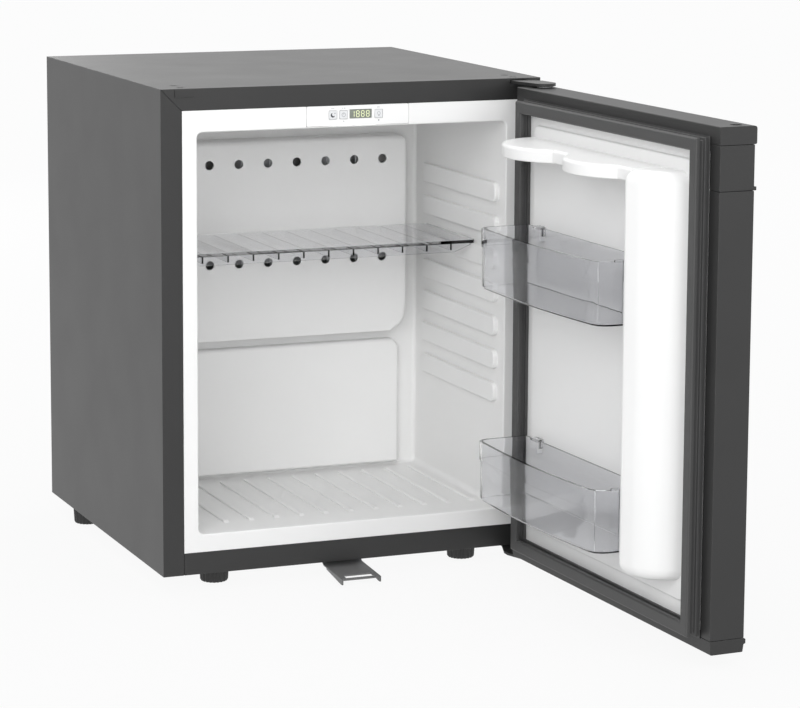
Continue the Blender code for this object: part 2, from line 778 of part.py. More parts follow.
for n in range(ledge_count):
    low = LEDGE_FIRST + n * LEDGE_PITCH
    high = low + LEDGE_HEIGHT
    corners = [(LEDGE_FRONT, low), (LEDGE_BACK, low), (LEDGE_BACK, high), (LEDGE_FRONT, high)]
    shape = rounded(corners, [5, 0, 0, 5], 3)
    raised.append(prism(f"ledge_left_{n + 1}", shape, "x", IN_LEFT - LINER / 2, IN_LEFT + LEDGE_OUT,
                        tool=True))
    raised.append(prism(f"ledge_right_{n + 1}", shape, "x", IN_RIGHT - LEDGE_OUT, IN_RIGHT + LINER / 2,
                        tool=True))
for n, x in enumerate(in_row(WIDTH / 2, IN_RIGHT - IN_LEFT - 2 * FLOOR_RIB_MARGIN, RIB_PITCH)):
    raised.append(box(f"floor_rib_{n + 1}", x - FLOOR_RIB / 2, x + FLOOR_RIB / 2, FLOOR_RIB_FRONT,
                      IN_BACK - FLOOR_RIB_STOP, IN_FLOOR - LINER / 2, IN_FLOOR + LINER, tool=True))
pad_x = (IN_LEFT + PAD_INSET, IN_RIGHT - PAD_INSET)
pad_z = (IN_FLOOR + 4, COVER_BOTTOM - PAD_BELOW)
pad = rounded([(pad_x[0], pad_z[0]), (pad_x[1], pad_z[0]), (pad_x[1], pad_z[1]), (pad_x[0], pad_z[1])],
              [0, 0, PAD_CORNER, PAD_CORNER], 4)
raised.append(prism("back_pad", pad, "y", IN_BACK - PAD_DEPTH, IN_BACK + LINER / 2, tool=True))
join(liner, *raised)
finish(liner, "white_plastic", root)

foam_low = 2 * (SHEET + GAP)
foam_top = HEIGHT - SHEET - GAP
insulation = box("insulation", *inner_x, flange_back + 3 * GAP, BOX_BACK, foam_low, foam_top)
foam_cuts = [
    prism("insulation_hollow", grown(rectangle(*wall_out, CORNER + LINER), GAP), "y", -THROUGH,
          IN_BACK + LINER + GAP, tool=True),
    box("insulation_panel_pocket", PANEL_LEFT + BODY_INSET - GAP, PANEL_RIGHT - BODY_INSET + GAP,
        -THROUGH, BODY_BACK + GAP, IN_TOP, BODY_TOP + GAP, tool=True),
    box("insulation_plate_pocket", *slot_x, -THROUGH, PLATE_END + 1, PLATE_Z - GAP, HEIGHT, tool=True),
    box("insulation_plug_pocket", *left_slot_x, -THROUGH, PLUG_BACK + 2, SLOT_LOW - 1, HEIGHT, tool=True),
    tube("insulation_pipe_holes", pipe_path, PIPE_R + GAP, tool=True),
    tube("insulation_drain_hole", drain_path, SPOUT_R + GAP, tool=True),
    tube("insulation_lead_hole", lead_path, CABLE_R + GAP, tool=True),
    tube("insulation_sensor_hole", sensor_path, LEAD_R + GAP, tool=True),
]
for n, (x, y) in enumerate(hinge_screws):
    foam_cuts.append(countersink(f"insulation_screw_hole_{n + 1}", x, y, GAP))
for n, (x, y) in enumerate(LOW_SCREWS + TONGUE_SCREWS):
    foam_cuts.append(rod(f"insulation_low_hole_{n + 1}", x, y, -THROUGH, LOW_SCREW, SCREW_R + GAP))
for name in ("foot_front_left", "foot_front_right"):
    foam_cuts.append(rod(f"{name}_pocket", *FEET[name], -THROUGH, STUD_LENGTH + 1, STUD_R + GAP))
cut(insulation, *foam_cuts)
finish(insulation, "foam", root)

back_plate = box("back_plate", *inner_x, BOX_BACK + GAP, BOX_BACK + GAP + SHEET, SHEET + GAP, foam_top)
plate_y = (BOX_BACK - THROUGH, BOX_BACK + THROUGH)
cut(
    back_plate,
    bore("back_pipe_hole_1", PIPE_LEFT, PIPE_Z, *plate_y, PIPE_R + 2 * GAP),
    bore("back_pipe_hole_2", PIPE_RIGHT, PIPE_Z, *plate_y, PIPE_R + 2 * GAP),
    bore("back_drain_hole", DRAIN_X, TROUGH_LOW + 3.5, *plate_y, SPOUT_R + 4 * GAP),
    bore("back_lead_hole", lead_x, body_mid, *plate_y, CABLE_R + 2 * GAP),
    bore("back_sensor_hole", SENSOR_X, SENSOR_Z, *plate_y, LEAD_R + 2 * GAP),
)
finish(back_plate, "galvanised", root)


# Cold side: cover, fins, pipe, trough and sensor

wall = COVER_WALL
cover_back = IN_BACK - GAP
bevel = COVER_BEVEL
cover_side = [(cover_back, COVER_BOTTOM), (cover_back, COVER_TOP), (COVER_FRONT + bevel, COVER_TOP),
              (COVER_FRONT, COVER_TOP - bevel), (COVER_FRONT, COVER_BEND),
              (COVER_FRONT + COVER_SLOPE, COVER_BOTTOM)]
below = COVER_BOTTOM - THROUGH
slope = COVER_SLOPE * (1 + THROUGH / (COVER_BEND - COVER_BOTTOM))
hollow_side = [(IN_BACK + THROUGH, below), (IN_BACK + THROUGH, COVER_TOP - wall),
               (COVER_FRONT + bevel + wall / 2, COVER_TOP - wall),
               (COVER_FRONT + wall, COVER_TOP - bevel - wall / 2), (COVER_FRONT + wall, COVER_BEND),
               (COVER_FRONT + slope + wall, below)]
cover_face = [(COVER_LEFT, COVER_BOTTOM), (COVER_RIGHT, COVER_BOTTOM),
              (COVER_RIGHT, COVER_TOP), (COVER_LEFT, COVER_TOP)]
cover = prism("evaporator_cover", cover_side, "x", COVER_LEFT, COVER_RIGHT)
keep(cover, prism("cover_outline", rounded(cover_face, [18, 18, 8, 8], 4), "y", COVER_FRONT - THROUGH,
                  IN_BACK + THROUGH, tool=True))
cover_cuts = [prism("cover_hollow", hollow_side, "x", COVER_LEFT + wall, COVER_RIGHT - wall, tool=True)]
for row, z in enumerate(HOLE_ROWS):
    for n, x in enumerate(in_row(WIDTH / 2, COVER_RIGHT - COVER_LEFT - 2 * HOLE_MARGIN, HOLE_PITCH)):
        cover_cuts.append(bore(f"cover_hole_{row + 1}_{n + 1}", x, z, COVER_FRONT - THROUGH,
                               COVER_FRONT + THROUGH, HOLE_R, 12))
cut(cover, *cover_cuts)
finish(cover, "white_plastic", root)

fins_x = (COVER_LEFT + FIN_INSET, COVER_RIGHT - FIN_INSET)
fins_z = (COVER_BOTTOM + FIN_INSET, COVER_TOP - FIN_INSET / 2)
fins = box("cold_plate", *fins_x, cover_back - FIN_PLATE, cover_back, *fins_z)
blades = []
for n, x in enumerate(in_row(WIDTH / 2, fins_x[1] - fins_x[0] - 8, FIN_PITCH)):
    blades.append(box(f"cold_fin_{n + 1}", x - FIN / 2, x + FIN / 2, COVER_FRONT + 5,
                      cover_back - FIN_PLATE / 2, fins_z[0] + 4, fins_z[1] - 4, tool=True))
join(fins, *blades)
cut(fins, tube("cold_plate_pipe_seat", pipe_path, PIPE_R + GAP, tool=True))
finish(fins, "aluminium", root)
finish(tube("evaporator_pipe", pipe_path, PIPE_R), "enamelled_tube", root, True)

trough_x = (COVER_LEFT + TROUGH_INSET, COVER_RIGHT - TROUGH_INSET)
trough_front = COVER_FRONT + COVER_SLOPE + COVER_WALL + 1.4
trough = box("drain_trough", *trough_x, trough_front, cover_back, TROUGH_LOW, TROUGH_HIGH)
join(trough, tube("drain_spout", drain_path, SPOUT_R, tool=True))
cut(trough, box("trough_hollow", trough_x[0] + TROUGH_WALL, trough_x[1] - TROUGH_WALL,
                trough_front + TROUGH_WALL, cover_back - TROUGH_WALL, TROUGH_LOW + TROUGH_WALL,
                TROUGH_HIGH + THROUGH, tool=True))
finish(trough, "grey_plastic", root)

pan_x = (VESSEL_LEFT + 6, PIPE_RIGHT + 7)
pan_y = (PAN_FRONT, PAN_FRONT + PAN_DEPTH)
pan_low = SHEET + GAP
pan = box("drip_pan", *pan_x, *pan_y, pan_low, pan_low + PAN_HEIGHT)
cut(pan, box("drip_pan_hollow", pan_x[0] + PAN_WALL, pan_x[1] - PAN_WALL, pan_y[0] + PAN_WALL,
             pan_y[1] - PAN_WALL, pan_low + PAN_WALL, pan_low + PAN_HEIGHT + THROUGH, tool=True))
finish(pan, "black_plastic", root)

sensor = prism("temperature_sensor", rectangle(SENSOR_X - SENSOR_HALF, SENSOR_X + SENSOR_HALF,
                                               cover_back - SENSOR_DEPTH, cover_back, 2, 3),
               "z", SENSOR_Z - 4 * SENSOR_HALF, SENSOR_Z + SENSOR_HALF)
join(sensor, tube("sensor_lead", sensor_path, LEAD_R, tool=True))
finish(sensor, "grey_plastic", root)


# Shelf in its pair of ledges

shelf_low = LEDGE_FIRST + SHELF_LEDGE * LEDGE_PITCH + LEDGE_HEIGHT + GAP
shelf_top = shelf_low + SHELF_THICK
shelf_x = (IN_LEFT + SLIDE_GAP, IN_RIGHT - SLIDE_GAP)
shelf_plan = rounded([(shelf_x[0], SHELF_FRONT), (shelf_x[1], SHELF_FRONT), (shelf_x[1], SHELF_BACK),
                      (shelf_x[0], SHELF_BACK)], [6, 6, 3, 3], 4)
shelf = prism("shelf", shelf_plan, "z", shelf_low, shelf_top)
reach = LEDGE_OUT + SLIDE_GAP
lip_low = shelf_top - SHELF_LIP
lip = [(shelf_x[0] + 5, shelf_top), (shelf_x[0] + reach, shelf_low - SLIDE_GAP),
       (shelf_x[0] + SHELF_TAPER, lip_low), (shelf_x[1] - SHELF_TAPER, lip_low),
       (shelf_x[1] - reach, shelf_low - SLIDE_GAP), (shelf_x[1] - 5, shelf_top)]
shelf_adds = [prism("shelf_lip", lip, "y", SHELF_FRONT, SHELF_FRONT + SHELF_LIP_THICK, tool=True)]
for n, x in enumerate(in_row(WIDTH / 2, IN_RIGHT - IN_LEFT - 2 * SHELF_RIB_MARGIN, RIB_PITCH)):
    shelf_adds.append(box(f"shelf_rib_{n + 1}", x - SHELF_RIB / 2, x + SHELF_RIB / 2, SHELF_FRONT + 1,
                          SHELF_BACK - 4, lip_low + 2, shelf_low + 1, tool=True))
join(shelf, *shelf_adds)
finish(shelf, "clear_plastic", root)


# Control panel, its board, keys, window, lamp lens and lead

body_x = (PANEL_LEFT + BODY_INSET, PANEL_RIGHT - BODY_INSET)
body_z = (BODY_BOTTOM, BODY_TOP)
window = (WINDOW_LEFT, WINDOW_RIGHT, WINDOW_LOW, WINDOW_HIGH)
half = KEY / 2
housing = prism("control_panel_housing", rectangle(PANEL_LEFT, PANEL_RIGHT, PANEL_BOTTOM, PANEL_TOP, 1.5, 3),
                "y", 0, PANEL_THICK)
face_cuts = [box("housing_window_hole", window[0] - GAP, window[1] + GAP, -THROUGH, THROUGH, window[2] - GAP,
                 window[3] + GAP, tool=True)]
for name, x in KEYS.items():
    hole = rectangle(x - half - GAP, x + half + GAP, KEY_Z - half - GAP, KEY_Z + half + GAP, 1.3, 3)
    face_cuts.append(prism(f"{name}_hole", hole, "y", -THROUGH, THROUGH, tool=True))
cut(housing, *face_cuts)
body_hollow = rectangle(body_x[0] + BODY_WALL, body_x[1] - BODY_WALL, body_z[0] + BODY_WALL,
                        body_z[1] - BODY_WALL)
join(housing, prism("housing_body", rectangle(*body_x, *body_z), "y", PANEL_THICK / 2, BODY_BACK, tool=True,
                    holes=[body_hollow]))
cut(housing, box("housing_lamp_hole", lamp_x[0] + 6, lamp_x[1] - 6, LAMP_FRONT + 2, LAMP_BACK - 2,
                 BODY_BOTTOM - THROUGH, BODY_BOTTOM + THROUGH, tool=True))
finish(housing, "white_plastic", root)

wide = half + KEY_SHOULDER
for name, x in KEYS.items():
    key_at = empty(f"{name}_slide", (x, 0, KEY_Z), root)
    key = prism(name, rectangle(x - half, x + half, KEY_Z - half, KEY_Z + half, 1.0, 3), "y", 0, KEY_BACK)
    join(key, box(f"{name}_shoulder", x - wide, x + wide, PANEL_THICK + GAP, KEY_BACK, KEY_Z - wide,
                  KEY_Z + wide, tool=True))
    finish(key, "grey_plastic", key_at)

board_mid = BOARD_FRONT + BOARD_THICK / 2
board = box("control_board", body_x[0] + BODY_WALL + GAP, body_x[1] - BODY_WALL - GAP, BOARD_FRONT,
            BOARD_FRONT + BOARD_THICK, BODY_BOTTOM + BODY_WALL + GAP, BODY_TOP - BODY_WALL - GAP)
raised = [box("display_block", window[0] + 0.5, window[1] - 0.5, PANEL_THICK + GAP, board_mid,
              window[2] + 0.5, window[3] - 0.5, tool=True)]
for name, x in KEYS.items():
    raised.append(box(f"{name}_switch", x - 3, x + 3, KEY_BACK + KEY_TRAVEL + GAP, board_mid,
                      KEY_Z - 3, KEY_Z + 3, tool=True))
join(board, *raised)
finish(board, "circuit_board", root)
finish(box("display_window", window[0], window[1], 0, PANEL_THICK, window[2], window[3]), "lens", root)
finish(box("lamp_lens", lamp_x[0] + GAP, lamp_x[1] - GAP, LAMP_FRONT + GAP, LAMP_BACK - GAP,
           IN_TOP - LINER / 2, BODY_BOTTOM - GAP), "lens", root)
finish(tube("control_lead", lead_path, CABLE_R), "cable", root, True)


# Hinge plates with their pins, slot plug and screws

plate_x = (slot_x[0] + 0.5, slot_x[1] - 0.5)
nose = arc(HINGE_X, HINGE_Y, PLATE_NOSE, -180, 15, 12)
plan = [(plate_x[0], PLATE_END), (plate_x[0], -8)] + nose
plan += [(HINGE_X + PLATE_NOSE - 2.8, -14), (plate_x[1], -3), (plate_x[1], PLATE_END)]
top_plate = prism("top_hinge_plate", plan, "z", PLATE_Z, PLATE_Z + PLATE)
join(top_plate, rod("top_hinge_pin", HINGE_X, HINGE_Y, PLATE_Z - PIN_LENGTH, PLATE_Z + 1, PIN_R, 20))
cut(top_plate, *[rod(f"top_plate_hole_{n + 1}", slot_mid, y, PLATE_Z - THROUGH, HEIGHT + THROUGH,
                     SCREW_R + SCREW_GAP)
                 for n, y in enumerate(SCREW_Y)])
finish(top_plate, "plated_steel", root)

low = -GAP - LOW_PLATE_DROP
thick = LOW_PLATE
plate_end = LOW_PLATE_END
side_view = [(plate_end, -GAP), (8, -GAP), (2, low), (-60, low), (-60, low - thick),
             (1, low - thick), (7, -GAP - thick), (plate_end, -GAP - thick)]
low_right = WIDTH - 1
low_left = low_right - LOW_PLATE_WIDTH
low_plate = prism("bottom_hinge_plate", side_view, "x", low_left - THROUGH, low_right + THROUGH)
low_plan = [(low_left, plate_end + THROUGH), (low_left, -8)]
low_plan += arc(HINGE_X, HINGE_Y, PLATE_NOSE, -180, 0, 12)
low_plan.append((low_right, plate_end + THROUGH))
keep(low_plate, prism("low_plate_outline", low_plan, "z", -30, 30, tool=True))
join(low_plate, rod("low_hinge_pin", HINGE_X, HINGE_Y, low - 1, low + LOW_PIN, PIN_R, 20))
cut(low_plate, *[rod(f"low_plate_hole_{n + 1}", x, y, low - THROUGH, THROUGH, SCREW_R + SCREW_GAP)
                 for n, (x, y) in enumerate(LOW_SCREWS)])
finish(low_plate, "plated_steel", root)

plug_x = (left_slot_x[0] + GAP, left_slot_x[1] - GAP)
rim = PLUG_RIM
plug = box("hinge_slot_plug", *plug_x, SHEET / 2, PLUG_BACK, slot_z[0] + GAP, slot_z[1] - GAP)
join(plug, box("plug_face", left_slot_x[0] - rim, left_slot_x[1] + rim, -1.2, -GAP, slot_z[0] - rim,
               slot_z[1] + rim, tool=True),
     box("plug_neck", plug_x[0] + 1, plug_x[1] - 1, -1, 1, slot_z[0] + 1, slot_z[1] - 1, tool=True))
finish(plug, "black_plastic", root)


def cross(name, x, y, seat, reach):
    """Tools for the cross in a screw head, from a seat height out to a reach."""
    span = sorted((seat, reach))
    return (box(name + "_cross_1", x - CROSS, x + CROSS, y - CROSS_REACH, y + CROSS_REACH, *span, tool=True),
            box(name + "_cross_2", x - CROSS_REACH, x + CROSS_REACH, y - CROSS, y + CROSS, *span, tool=True))


def low_screw(name, x, y, seat):
    """A pan head screw from below, up into the cabinet."""
    head = SCREW_HEAD_R
    profile = [(SCREW_R, LOW_SCREW - GAP), (SCREW_R, seat - GAP), (head, seat - GAP), (head, seat - 1.5),
               (head - 0.9, seat - 2.3)]
    made = turned(name, profile, (x, y, 0), "z", 16)
    cut(made, *cross(name, x, y, seat - 1.4, seat - THROUGH))
    return finish(made, "plated_steel", root)


for n, (x, y) in enumerate(hinge_screws):
    shank_top = HEIGHT - (SCREW_HEAD_R - SCREW_R)
    profile = [(SCREW_HEAD_R, HEIGHT), (SCREW_R, shank_top), (SCREW_R, HEIGHT - TOP_SCREW)]
    sunk = turned(f"top_screw_{n + 1}", profile, (x, y, 0), "z", 16)
    cut(sunk, *cross(f"top_screw_{n + 1}", x, y, HEIGHT - 1, HEIGHT + THROUGH))
    finish(sunk, "plated_steel", root)
for n, (x, y) in enumerate(LOW_SCREWS):
    low_screw(f"low_hinge_screw_{n + 1}", x, y, -GAP - LOW_PLATE)


# Lock tongue under the front edge, and the feet

tongue_seat = -GAP - TONGUE_THICK
drop = [(50, -GAP), (20, -GAP), (12, -5.2), (TONGUE_FRONT, -8.6)]
side_view = drop + [(y, z - TONGUE_THICK) for y, z in reversed(drop)]
tongue = prism("lock_tongue", side_view, "x", TONGUE_LEFT, TONGUE_RIGHT)
cheek = [(4, -5.9), (TONGUE_FRONT, -8.8), (TONGUE_FRONT, -14.4), (TONGUE_FRONT + 4, -14.4), (4, -8.5)]
join(tongue, *[prism(f"tongue_cheek_{n + 1}", cheek, "x", x, x + TONGUE_THICK, tool=True)
               for n, x in enumerate((TONGUE_LEFT, TONGUE_RIGHT - TONGUE_THICK))])
cut(tongue, box("tongue_slot", TONGUE_LEFT + 6, TONGUE_RIGHT - 6, TONGUE_FRONT + 4, TONGUE_FRONT + 13, -20,
                0, tool=True),
    *[rod(f"tongue_hole_{n + 1}", x, y, tongue_seat - THROUGH, THROUGH, SCREW_R + SCREW_GAP)
      for n, (x, y) in enumerate(TONGUE_SCREWS)])
finish(tongue, "painted_steel", root)
for n, (x, y) in enumerate(TONGUE_SCREWS):
    low_screw(f"tongue_screw_{n + 1}", x, y, tongue_seat)


def foot(name, x, y):
    """A ribbed foot, wider at the top, with its stud."""
    sections = []
    for z, radius in ((-FOOT_HEIGHT, FOOT_R - 2), (-FOOT_HEIGHT + 1.5, FOOT_R - 0.8), (-3.0, FOOT_R),
                      (-GAP, FOOT_R - 0.6)):
        ring = []
        for s in range(2 * FOOT_RIBS):
            angle = math.pi * s / FOOT_RIBS
            r = radius - (FOOT_GROOVE if s % 2 else 0.0)
            ring.append((x + r * math.cos(angle), y + r * math.sin(angle), z))
        sections.append(ring)
    made = lofted(name, sections)
    join(made, rod(f"{name}_stud", x, y, -4, STUD_LENGTH, STUD_R, 12))
    return finish(made, "black_plastic", root)


for name, place in FEET.items():
    foot(name, *place)


# Cooling unit in the rear bay

boiler = turned("boiler_jacket", [(BOILER_R - 3, BOILER_HIGH), (BOILER_R, BOILER_HIGH - 3),
                                  (BOILER_R, BOILER_LOW + 3), (BOILER_R - 3, BOILER_LOW)],
                (BOILER_X, UNIT_Y, 0), "z", 28)
finish(boiler, "galvanised", root, True)
dome = [(0.0, 0.0), (0.55, 0.05), (0.85, 0.22), (1.0, 0.5)]
ends = [(VESSEL_R * r, VESSEL_RIGHT - VESSEL_R * h) for r, h in dome]
ends += [(VESSEL_R * r, VESSEL_LEFT + VESSEL_R * h) for r, h in reversed(dome)]
vessel = turned("absorber_vessel", ends, (0, UNIT_Y, VESSEL_Z), "x", 24)
finish(vessel, "enamelled_tube", root, True)

condenser_path = route(
    [(BOILER_X, UNIT_Y, BOILER_HIGH + GAP), (BOILER_X, UNIT_Y, CONDENSER_Z + CONDENSER_FALL),
     (CONDENSER_END, UNIT_Y, CONDENSER_Z - CONDENSER_FALL / 2),
     (CONDENSER_END, UNIT_Y, CONDENSER_Z - CONDENSER_DROP + GAP)],
    CONDENSER_BEND,
)
condenser = tube("condenser", condenser_path, PIPE_R)
fin_mid = (BOILER_X + CONDENSER_END) / 2 - 3
fin_room = BOILER_X - CONDENSER_END - 2 * CONDENSER_MARGIN
fin_y = (UNIT_Y - CONDENSER_FIN_REACH, UNIT_Y + CONDENSER_FIN_REACH)
fin_z = (CONDENSER_Z + 2 - CONDENSER_FIN_REACH, CONDENSER_Z + 2 + CONDENSER_FIN_REACH)
condenser_fins = []
for n, x in enumerate(in_row(fin_mid, fin_room, CONDENSER_FIN_PITCH)):
    condenser_fins.append(box(f"condenser_fin_{n + 1}", x - CONDENSER_FIN / 2, x + CONDENSER_FIN / 2, *fin_y,
                              *fin_z, tool=True))
join(condenser, *condenser_fins)
finish(condenser, "aluminium", root)

rows = [COIL_LOW + COIL_PITCH * n for n in range(COIL_ROWS)]
riser_x = VESSEL_LEFT + 28
corners = [(riser_x, UNIT_Y, VESSEL_Z + VESSEL_R + GAP), (riser_x, UNIT_Y, rows[0]),
           (COIL_RIGHT, UNIT_Y, rows[0])]
for n, row in enumerate(rows[1:]):
    near, far = (COIL_RIGHT, COIL_LEFT) if n % 2 == 0 else (COIL_LEFT, COIL_RIGHT)
    corners += [(near, UNIT_Y, row), (far, UNIT_Y, row)]
last = rows[-1] + COIL_PITCH / 2 - 1
corners += [(COIL_LEFT, UNIT_Y, last), (PIPE_RIGHT - PIPE_R - GAP, UNIT_Y, last)]
finish(tube("absorber_coil", route(corners, COIL_BEND), PIPE_R), "enamelled_tube", root, True)

feed_path = route([(VESSEL_RIGHT + GAP, UNIT_Y, VESSEL_Z), (BOILER_X, UNIT_Y, VESSEL_Z),
                   (BOILER_X, UNIT_Y, BOILER_LOW - GAP)], PIPE_BEND)
finish(tube("boiler_feed_pipe", feed_path, FEED_R), "enamelled_tube", root, True)

plate_back = BOX_BACK + SHEET + 2 * GAP
power_face = rectangle(POWER_LEFT, power_right, POWER_LOW, POWER_HIGH, 4, 3)
power_box = prism("power_box", power_face, "y", plate_back, POWER_BACK)
seat_x = (INLET_X - INLET_HALF_X, INLET_X + INLET_HALF_X)
seat_z = (INLET_Z - INLET_HALF_Z, INLET_Z + INLET_HALF_Z)
seat_y = POWER_BACK - INLET_DEPTH
cut(power_box, box("inlet_seat", *seat_x, seat_y, POWER_BACK + THROUGH, *seat_z, tool=True))
finish(power_box, "black_plastic", root)
rim = INLET_RIM
inlet = box("mains_inlet", seat_x[0] + GAP, seat_x[1] - GAP, seat_y + GAP, POWER_BACK + 1, seat_z[0] + GAP,
            seat_z[1] - GAP)
join(inlet, box("inlet_flange", INLET_X - INLET_FLANGE, INLET_X + INLET_FLANGE, POWER_BACK + GAP,
                POWER_BACK + 3, seat_z[0] - 3, seat_z[1] + 3, tool=True))
cut(inlet, box("inlet_mouth", seat_x[0] + rim, seat_x[1] - rim, seat_y + GAP + rim, POWER_BACK + THROUGH,
               seat_z[0] + rim, seat_z[1] - rim, tool=True))
join(inlet, *[box(f"inlet_pin_{n + 1}", INLET_X + x - 1, INLET_X + x + 1, seat_y + rim, POWER_BACK,
                  INLET_Z + z - 2, INLET_Z + z + 2, tool=True)
              for n, (x, z) in enumerate(((-6, -1.5), (6, -1.5), (0, 2.5)))])
finish(inlet, "black_plastic", root)

heater_x = (power_right - 12, BOILER_X - BOILER_R / 2)
heater_y = (BOX_BACK + 23, UNIT_Y - 10)
heater_low = POWER_LOW - 28
heater_path = route(
    [(heater_x[0], heater_y[0], POWER_LOW - GAP), (heater_x[0], heater_y[0], heater_low),
     (heater_x[1], heater_y[1], heater_low), (heater_x[1], heater_y[1], BOILER_LOW - GAP)],
    8,
)
finish(tube("heater_lead", heater_path, CABLE_R), "cable", root, True)


def bracket(name, x, low_z, high_z, reach_to):
    """A foot plate on the back plate with a web at each end that reaches a round piece."""
    half_wide = BRACKET_WIDTH / 2
    made = box(name, x - half_wide, x + half_wide, plate_back, plate_back + BRACKET, low_z, high_z)
    webs = [box(f"{name}_web_{n + 1}", x - 1.2, x + 1.2, plate_back + BRACKET / 2, reach_to, z,
                z + BRACKET_WEB, tool=True) for n, z in enumerate((low_z, high_z - BRACKET_WEB))]
    join(made, *webs)
    return finish(made, "galvanised", root)


bracket("boiler_bracket", BOILER_X, BOILER_LOW + 25, BOILER_HIGH - 25, UNIT_Y - BOILER_R - GAP)
bracket("vessel_bracket", VESSEL_LEFT + 14, VESSEL_Z - 20, VESSEL_Z + 20, UNIT_Y - VESSEL_R - GAP)


# Door skin, caps, grip and insulation

skin_plan = [
    (0, DOOR_OUTER), (WIDTH, DOOR_OUTER), (WIDTH, DOOR_INNER), (WIDTH - DOOR_FOLD, DOOR_INNER),
    (WIDTH - DOOR_FOLD, LINER_BACK), (WIDTH - SHEET, LINER_BACK), (WIDTH - SHEET, DOOR_OUTER + SHEET),
    (SHEET, DOOR_OUTER + SHEET), (SHEET, LINER_BACK), (DOOR_FOLD, LINER_BACK),
    (DOOR_FOLD, DOOR_INNER), (0, DOOR_INNER),
]
skin = prism("door_skin", skin_plan, "z", CAP_LOW_Z + GAP, CAP_TOP_Z - GAP)
door_y = (DOOR_OUTER - THROUGH, DOOR_INNER + THROUGH)
cut(skin, box("grip_notch", -THROUGH, GRIP_WIDTH + GAP, *door_y, GRIP_Z - GAP, DOOR_TOP, tool=True))
finish(skin, "painted_steel", door_axis)

front = DOOR_OUTER - CAP_OVERHANG
cap_side = rounded([(front, CAP_TOP_Z), (DOOR_INNER, CAP_TOP_Z), (DOOR_INNER, DOOR_TOP), (front, DOOR_TOP)],
                   [1.5, 0, 1.0, 2.5], 3)
top_cap = prism("door_top_cap", cap_side, "x", 0, WIDTH)
cut(top_cap, rod("top_bush_seat", HINGE_X, HINGE_Y, CAP_TOP_Z + BUSH_FLOOR, DOOR_TOP + THROUGH, BUSH_R + GAP,
                 20))
finish(top_cap, "black_plastic", door_axis)
low_side = rounded([(DOOR_OUTER + 1, DOOR_BOTTOM), (DOOR_INNER - 1, DOOR_BOTTOM), (DOOR_INNER, CAP_LOW_Z),
                    (DOOR_OUTER, CAP_LOW_Z), (front, CAP_LOW_Z - 1), (front, CAP_LOW_Z - 5),
                    (DOOR_OUTER, CAP_LOW_Z - 6)], [1, 1, 0, 0, 0.8, 0.8, 0], 2)
low_cap = prism("door_bottom_cap", low_side, "x", 0, WIDTH)
cut(low_cap, rod("low_bush_seat", HINGE_X, HINGE_Y, DOOR_BOTTOM - THROUGH, CAP_LOW_Z - BUSH_FLOOR + 0.5,
                 BUSH_R + GAP, 20))
finish(low_cap, "black_plastic", door_axis)

grip_top = CAP_TOP_Z - GAP
ridge = front - 0.4
grip_side = [(DOOR_OUTER, GRIP_Z + 3.6), (ridge, GRIP_Z + 3.4), (ridge, GRIP_Z), (DOOR_INNER, GRIP_Z),
             (DOOR_INNER, grip_top), (DOOR_OUTER, grip_top)]
grip = prism("door_grip", grip_side, "x", 0, GRIP_WIDTH)
cut(grip, box("grip_liner_rebate", LINER_IN - GAP, GRIP_WIDTH + THROUGH, LINER_BACK - GAP, door_y[1],
              GRIP_Z - THROUGH, DOOR_TOP, tool=True))
finish(grip, "black_plastic", door_axis)


def pillar(name, inset, hollow):
    """The rounded post along the free edge of the door liner."""
    base = LINER_BACK - (6 if hollow else -GAP)
    plan = [(PILLAR_LEFT, base), (PILLAR_RIGHT, base)]
    plan += [(PILLAR_LEFT + PILLAR_WIDTH * u, LINER_BACK + PILLAR_OUT * v) for u, v in PILLAR_SHAPE]
    plan = grown(plan, -inset)
    plan[0] = (PILLAR_LEFT + inset, base)
    plan[1] = (PILLAR_RIGHT - inset, base)
    middle = (PILLAR_LEFT + PILLAR_RIGHT) / 2
    low_end = PILLAR_LOW + inset
    high_end = PILLAR_HIGH - inset
    ends = ((0, 0.62), (3, 0.84), (9, 0.96), (18, 1.0))
    steps = [(low_end + z, size) for z, size in ends] + [(high_end - z, size) for z, size in reversed(ends)]
    sections = []
    for z, size in steps:
        section = []
        for n, (x, y) in enumerate(plan):
            across = middle + (x - middle) * (0.6 + 0.4 * size)
            section.append((across, y if n < 2 else base + (y - base) * size, z))
        sections.append(section)
    return lofted(name, sections, tool=True)


def hood(name, middle, inset, hollow):
    """A scalloped bulge that holds the neck of a bottle upright."""
    base = LINER_BACK - (6 if hollow else -GAP)
    reach = PLATEAU_FACE + HOOD_OUT - inset
    half_wide = (HOOD_RIGHT - HOOD_LEFT - HOOD_GAP) / 4 - inset
    sections = []
    for z, size in ((HOOD_LOW + inset, 0.97), (HOOD_LOW + 3 + inset, 1.0), (HOOD_HIGH - 6 - inset, 1.0),
                    (HOOD_HIGH - 4 - inset, 0.97), (HOOD_HIGH - inset, 0.88)):
        section = []
        for n in range(15):
            a = math.pi * n / 14
            out = PLATEAU_FACE + (reach * size - PLATEAU_FACE) * math.sin(a)
            section.append((middle + half_wide * size * math.cos(a), out, z))
        section.append((middle - half_wide * size, base, z))
        section.append((middle + half_wide * size, base, z))
        sections.append(section)
    return lofted(name, sections, tool=True)


def hood_band(name, inset, hollow):
    """The straight ledge that links the hoods to the post."""
    base = LINER_BACK - (6 if hollow else -GAP)
    return box(name, BAND_LEFT + inset, BAND_RIGHT - inset, base, PLATEAU_FACE + BAND_OUT - inset,
               HOOD_LOW + 2 * GAP + inset, HOOD_HIGH - 2 * GAP - inset, tool=True)


def plateau_outline(inset, radius):
    return rectangle(PLATEAU_LEFT + inset, PLATEAU_RIGHT - inset, PLATEAU_LOW + inset, PLATEAU_HIGH - inset,
                     radius, 3)


